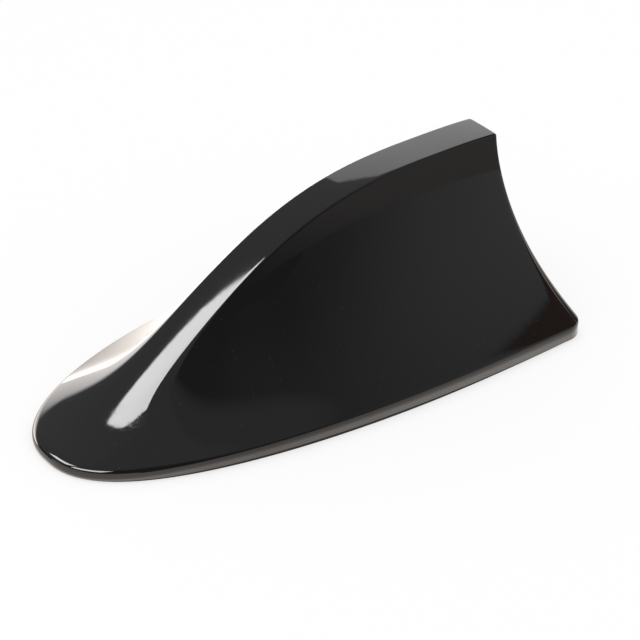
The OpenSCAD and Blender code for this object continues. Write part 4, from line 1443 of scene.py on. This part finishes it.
@dataclass
class SubAssembly:
    """Pieces that belong together, with the finishes they take.

    The constants are angles in degrees, and the distances in metres within which points are merged.
    """

    SOFT_OVER: ClassVar[float] = 32.0
    SOFT_CREASE: ClassVar[float] = 38.0
    FLAT_WITHIN: ClassVar[float] = 0.6
    NODE_WELD: ClassVar[float] = 1e-6
    OWN_CREASE: ClassVar[float] = 50.0
    OWN_WELD: ClassVar[float] = 2e-7

    shelf: FinishShelf

    def finish(self, piece: bpy.types.Object, slot: Slot, *nodes: str) -> bpy.types.Object:
        """Gives a piece its finish and its body, and hides the nodes that it replaces.

        Args:
            piece: the finished mesh object.
            slot: its material slot.
            *nodes: names of the nodes that it replaces.

        Returns:
            The same piece.
        """
        piece.data.materials.clear()
        piece.data.materials.append(self.shelf.take(slot))
        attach(piece, BODY)
        if nodes:
            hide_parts(*nodes)
        LOG.info("%s: %d faces, %s", piece.name, len(piece.data.polygons), slot.value)
        return piece

    def shaped(self, name: str, shape: bmesh.types.BMesh, crease: float) -> bpy.types.Object:
        """Makes a linked, smooth shaded object of a bmesh and frees it.

        Args:
            name: the piece's name.
            shape: the bmesh, in the row frame's metres.
            crease: the angle in degrees over which an edge stays sharp.

        Returns:
            The object.
        """
        mesh = bpy.data.meshes.new(name)
        shape.to_mesh(mesh)
        shape.free()
        mesh.polygons.foreach_set("use_smooth", [True] * len(mesh.polygons))
        mesh.set_sharp_from_angle(angle=math.radians(crease))
        piece = linked(name, mesh)
        level = piece.modifiers.new("level", "WEIGHTED_NORMAL")
        level.keep_sharp, level.weight = True, 100
        return baked(piece, level, layers=True)

    def softened(self, node: str, slot: Slot, width: float) -> bpy.types.Object:
        """Copies a node with its sharp edges rounded.

        Args:
            node: the node's name.
            slot: its material slot.
            width: how wide the rounded edges are, in millimetres.

        Returns:
            The piece that replaces the node.
        """
        shape = bmesh.new()
        shape.from_mesh(bpy.data.objects[node].data)
        bmesh.ops.remove_doubles(shape, verts=shape.verts, dist=self.NODE_WELD)
        flat = math.radians(self.FLAT_WITHIN)
        bmesh.ops.dissolve_limit(shape, angle_limit=flat, verts=shape.verts, edges=shape.edges)
        round_edges(shape, self.SOFT_OVER, width, clamp=True)
        bmesh.ops.triangulate(shape, faces=[face for face in shape.faces if len(face.verts) > 4])
        return self.finish(self.shaped(f"{node}_soft", shape, self.SOFT_CREASE), slot, node)

    def closed(self, name: str, block: bmesh.types.BMesh) -> bpy.types.Object:
        """Merges a bmesh's doubles, turns its faces outwards and makes it an object.

        Args:
            name: the piece's name.
            block: the bmesh, in the row frame's metres.

        Returns:
            The object.
        """
        bmesh.ops.remove_doubles(block, verts=block.verts, dist=self.OWN_WELD)
        bmesh.ops.recalc_face_normals(block, faces=block.faces)
        return self.shaped(name, block, self.OWN_CREASE)


@dataclass
class Cover(SubAssembly):
    """The gloss moulding with its screw bosses."""

    boss_d: float = 7.0
    boss_sunk: float = 0.4
    boss_seat: float = 4.6
    pilot_d: float = 3.14
    pilot_h: float = 7.8
    boss_places: Places = ((39.0, 12.0), (39.0, -12.0), (145.0, 24.0), (145.0, -24.0))
    sides: int = 40

    def boss(self, inside: BVHTree, place: Pair, first: int) -> tuple[list, list]:
        """Makes one boss, which ends a little way into the wall.

        Args:
            inside: the cover's skin, to find the wall over the boss.
            place: its place along and across the fin.
            first: the number of its first point.

        Returns:
            Its points and faces.
        """
        outer = circle(place, self.boss_d / 2, self.sides)
        inner = circle(place, self.pilot_d / 2, self.sides)
        up = Vector((0.0, 0.0, 1.0))
        walls = [inside.ray_cast(Vector((*p, self.boss_seat)), up)[0].z for p in outer]
        points = [(*p, wall + self.boss_sunk) for p, wall in zip(outer, walls)]
        points += [(*p, self.boss_seat) for p in outer + inner]
        points += [(*p, self.boss_seat + self.pilot_h) for p in inner]
        faces: list[tuple[int, ...]] = []
        for ring in range(3):
            faces += band(first + ring * self.sides, self.sides)
        faces.append(tuple(first + 3 * self.sides + k for k in range(self.sides)))
        faces.append(tuple(first + k for k in range(self.sides)))
        return points, faces

    def build(self) -> None:
        """Builds the cover and dresses it."""
        shape = CoverShape()
        rings = shape.outer_rings() + shape.inner_rings()
        skin = Skin(shape, rings)
        skin.cap(rings[0], 0, 0.0, False)
        skin.cap(rings[-1], (len(rings) - 1) * skin.size, shape.wall, True)
        points, faces = [tuple(p) for p in skin.points], list(skin.faces)
        inside = BVHTree.FromPolygons(points, faces)
        for place in self.boss_places:
            more, sides = self.boss(inside, place, len(points))
            points += more
            faces += sides
        places = np.array(points)
        places[:, 2] = np.minimum(places[:, 2], CAD_BOX[1][2] / MM)
        self.finish(mesh_object("cover_moulding", places, faces), Slot.COVER, "cover")


@dataclass
class Foot(SubAssembly):
    """Seal, base plate, adhesive pad and grommet."""

    seal_inset: float = 0.6
    seal_w: float = 4.2
    seal_clear: float = 0.12
    seal_round: float = 0.22
    pad_t: float = 1.1
    pad_inset: float = 1.2
    pad_round: float = 0.15
    pad_sharp: float = 68.75
    pad_hole_d: float = 15.0
    pad_middle: Pair = (80.0, 0.0)
    plate_front: float = 17.0
    plate_rear_gap: float = 7.0
    plate_side_gap: float = 8.5
    plate_corner_r: float = 8.0
    plate_soft: float = 0.25
    lead_x: float = 52.0
    lead_hole_r: float = 2.6
    grommet_r: float = 5.25
    flange_r: float = 7.0
    flange_t: float = 0.9
    flange_round: float = 0.3
    grommet_clear: float = 0.1
    waist: float = 2.4
    sides: int = 72

    def seal(self) -> None:
        """Makes the rubber seal with its rounded edges."""
        shape = CoverShape()
        corners = [(0.0, 1.0), (0.0, 0.0), (self.seal_w, 0.0), (self.seal_w, 1.0)]
        section = rounded_profile(corners, self.seal_round, 3)
        rings = []
        for out, up in section + section[:1]:
            plan = shape.cover_plan(self.seal_inset + out)
            rings.append(np.column_stack([plan, up * (shape.rim_z(plan[:, 0]) - self.seal_clear)]))
        skin = Skin(shape, rings)
        strip = self.closed("seal_strip", block_of(skin.points, skin.faces))
        self.finish(strip, Slot.RUBBER, "foot_seal")

    def pad_outline(self) -> np.ndarray:
        """Returns the pad's outline, inside the edge of the base plate."""
        shape = CoverShape()
        length = shape.length - self.plate_front - self.plate_rear_gap
        half = shape.half_plan(self.plate_front, length, shape.width / 2 - self.plate_side_gap,
                               shape.widest - self.plate_front, self.plate_corner_r)
        outline = Skin.both(np.column_stack([half, np.zeros(len(half))]))[:, :2]
        along = np.roll(outline, -1, axis=0) - np.roll(outline, 1, axis=0)
        normal = np.column_stack([along[:, 1], -along[:, 0]])
        normal /= np.linalg.norm(normal, axis=1)[:, None]
        inward = np.sign(np.sum(normal * (self.pad_middle - outline), axis=1))[:, None]
        return outline + normal * inward * self.pad_inset

    def pad(self) -> None:
        """Makes the foam pad with its cut-out and soft edges."""
        hole = circle((self.lead_x, 0.0), self.pad_hole_d / 2, self.sides)
        block = bmesh.new()
        for loop in (self.pad_outline(), hole):
            top = placed([(x, y, self.pad_t) for x, y in loop])
            dots = [block.verts.new(point) for point in top.tolist()]
            for a, b in zip(dots, dots[1:] + dots[:1]):
                block.edges.new((a, b))
        bmesh.ops.triangle_fill(block, edges=block.edges[:], use_beauty=True)
        lower = bmesh.ops.extrude_face_region(block, geom=block.faces[:])["geom"]
        lower = [item for item in lower if isinstance(item, bmesh.types.BMVert)]
        bmesh.ops.translate(block, verts=lower, vec=(0.0, 0.0, -self.pad_t * MM))
        bmesh.ops.recalc_face_normals(block, faces=block.faces)
        round_edges(block, self.pad_sharp, self.pad_round, clamp=False)
        self.finish(self.closed("foam_pad", block), Slot.FOAM, "adhesive_pad")

    def grommet(self) -> None:
        """Makes the grommet with rolled edges."""
        low = self.pad_t - self.grommet_clear - self.flange_t
        high = low + self.flange_t + self.waist
        corners = [
            (self.lead_hole_r, low), (self.flange_r, low), (self.flange_r, low + self.flange_t),
            (self.grommet_r, low + self.flange_t), (self.grommet_r, high), (self.flange_r, high),
            (self.grommet_r, high + self.flange_t), (self.lead_hole_r, high + self.flange_t),
        ]
        profile = rounded_profile(corners, self.flange_round, 4)
        points, faces = revolved(profile, (self.lead_x, 0.0), self.sides)
        rubber = self.closed("rubber_grommet", block_of(points, faces))
        self.finish(rubber, Slot.RUBBER, "lead_grommet")

    def build(self) -> None:
        """Builds the four pieces."""
        self.seal()
        self.softened("base_plate", Slot.BASE, self.plate_soft)
        self.pad()
        self.grommet()


@dataclass
class Screws(SubAssembly):
    """Cover screws, board screws and the top plate's screw, with their threads."""

    board_places: Places = ((66.8, 16.2), (66.8, -16.2), (127.2, 16.2), (127.2, -16.2))
    top_places: Places = ((119.0, 0.0),)
    cover_from: float = 4.9
    board_from: float = 9.2
    top_from: float = 52.0
    thread_tip: float = 0.97
    heads: tuple[tuple[str, float], ...] = (
        ("cover_screws", 0.12),
        ("board_screws", 0.1),
        ("top_plate_screw", 0.06),
    )

    def thread(self, name: str, places: Places, height: float, **values: float) -> None:
        """Adds the threads of one set of screws.

        Args:
            name: the piece's name.
            places: x and y of each screw in millimetres.
            height: where the threads start.
            **values: the thread tree's inputs by name, with lengths in metres.
        """
        points = np.array([(x, y, height) for x, y in places])
        inputs = {"Tip": self.thread_tip, **values, "Material": self.shelf.take(Slot.STEEL)}
        self.finish(ThreadTree().make(name, points, [], inputs), Slot.STEEL)

    def build(self) -> None:
        """Builds the screws and their threads."""
        for node, width in self.heads:
            self.softened(node, Slot.STEEL, width)
        self.thread("cover_threads", Cover.boss_places, self.cover_from,
                    Radius=0.00135, Depth=0.0002, Height=0.0062, Turns=6.0)
        self.thread("board_threads", self.board_places, self.board_from,
                    Radius=0.001, Depth=0.00016, Height=0.0038, Turns=5.0, Tilt=math.pi)
        self.thread("top_thread", self.top_places, self.top_from,
                    Radius=0.0007, Depth=0.00014, Height=0.0044, Turns=8.0, Tilt=math.pi)


@dataclass
class Board(SubAssembly):
    """Circuit board with its screening can, chips and sockets."""

    board_top: float = 9.4
    bead_lift: float = 0.05
    bead_r: float = 0.42
    bead_flat: float = 0.5
    can_mid: float = 87.0
    chip_y: float = -4.8
    chip_len: float = 4.9
    chip_w: float = 3.9
    chip_leads: int = 4
    lead_reach: float = 1.0
    regulator_x: float = 107.6
    regulator_len: float = 6.5
    regulator_w: float = 3.5
    regulator_leads: int = 3
    part_len: float = 2.0
    part_pitch: float = 3.4
    part_rows: tuple[tuple[int, float], ...] = ((6, 6.0), (5, 2.6))
    softening: tuple[tuple[str, Slot, float], ...] = (
        ("circuit_board", Slot.BOARD, 0.08),
        ("shield_frame", Slot.SHEET, 0.06),
        ("shield_lid", Slot.SHEET, 0.1),
        ("amplifier_chip", Slot.CHIP, 0.06),
        ("voltage_regulator", Slot.CHIP, 0.06),
        ("chip_capacitors", Slot.CERAMIC, 0.08),
        ("chip_resistors", Slot.CHIP, 0.06),
        ("chip_inductors", Slot.FERRITE, 0.08),
        ("smoothing_capacitor", Slot.CAN, 0.15),
        ("filter_choke", Slot.FERRITE, 0.12),
        ("coax_socket", Slot.BRASS, 0.12),
        ("power_socket", Slot.NYLON, 0.2),
    )

    @staticmethod
    def centred(count: int) -> list[float]:
        """Returns the numbers of a row's items, counted from its middle."""
        return [i - (count - 1) / 2 for i in range(count)]

    def joints(self) -> list[Pair]:
        """Returns the places of the solder beads at leads and part ends."""
        places = []
        for side in (-1, 1):
            y = self.chip_y + side * (self.chip_w / 2 + self.lead_reach)
            leads = self.chip_leads
            places += [(self.can_mid + i * self.chip_len / leads, y) for i in self.centred(leads)]
            x = self.regulator_x + side * (self.regulator_w / 2 + self.lead_reach)
            leads = self.regulator_leads
            places += [(x, i * self.regulator_len / leads) for i in self.centred(leads)]
            end = side * self.part_len / 2
            for count, y in self.part_rows:
                places += [(self.can_mid + i * self.part_pitch + end, y) for i in self.centred(count)]
        return places

    def build(self) -> None:
        """Builds the board, what stands on it and the solder."""
        for node, slot, width in self.softening:
            self.softened(node, slot, width)
        points = np.array([(x, y, self.board_top + self.bead_lift) for x, y in self.joints()])
        tin = self.shelf.take(Slot.SHEET)
        values = {"Radius": self.bead_r * MM, "Height": self.bead_flat, "Material": tin}
        self.finish(SolderTree().make("solder_beads", points, [], values), Slot.SHEET)


@dataclass
class Mast(SubAssembly):
    """Loading coil on its mast, its terminal and the top plate."""

    coil_x: float = 119.0
    coil_d: float = 7.8
    wire_d: float = 0.9
    wire_share: float = 0.98
    wire_sides: int = 12
    turns: int = 13
    steps: int = 48
    lead_out: Pair = (8.0, 12.0)
    low_z: float = 12.55
    top_gap: float = 1.6
    top_skirt: float = 9.0
    top_t: float = 0.6
    end_clear: float = 0.2
    softening: tuple[tuple[str, Slot, float], ...] = (
        ("coil_mast", Slot.NYLON, 0.2),
        ("coil_terminal", Slot.BRASS, 0.08),
        ("top_plate", Slot.SHEET, 0.1),
    )

    def path(self) -> np.ndarray:
        """Returns the wire's centre line: the turns, then a leg up to the top plate."""
        shape = CoverShape()
        near, far = self.coil_x - self.coil_d / 2, self.coil_x + self.coil_d / 2
        over = shape.wall + self.top_gap
        high_z = float(shape.crest_z(np.array(near))) - over - self.top_skirt - self.wire_d
        leg_z = float(shape.crest_z(np.array(far))) - over - self.top_t - self.end_clear
        count = self.turns * self.steps
        places = [(360.0 * k / self.steps, mix(self.low_z, high_z, k / count)) for k in range(count + 1)]
        first, last = self.lead_out
        places += [(first, high_z + self.wire_d / 4), (last, high_z + self.wire_d), (last, leg_z)]
        turned = [(math.radians(a), z) for a, z in places]
        half = self.coil_d / 2
        return np.array([(self.coil_x + half * math.cos(a), half * math.sin(a), z) for a, z in turned])

    def build(self) -> None:
        """Builds the coil and softens what it stands on."""
        path = self.path()
        radius = self.wire_d / 2 * self.wire_share * MM
        values = {"Radius": radius, "Sides": self.wire_sides, "Material": self.shelf.take(Slot.WIRE)}
        coil = WireTree().make("wound_coil", path, [(k, k + 1) for k in range(len(path) - 1)], values)
        self.finish(coil, Slot.WIRE, "aerial_coil")
        for node, slot, width in self.softening:
            self.softened(node, slot, width)


def main() -> None:
    """Builds the pieces, the studio and the camera."""
    logging.basicConfig(level=logging.INFO, format="%(name)s: %(message)s")
    shelf = FinishShelf()
    for part in (Cover(shelf), Foot(shelf), Screws(shelf), Board(shelf), Mast(shelf)):
        part.build()
    Studio().build()
    PhotoCamera().build()


if __name__ == "__main__":
    main()
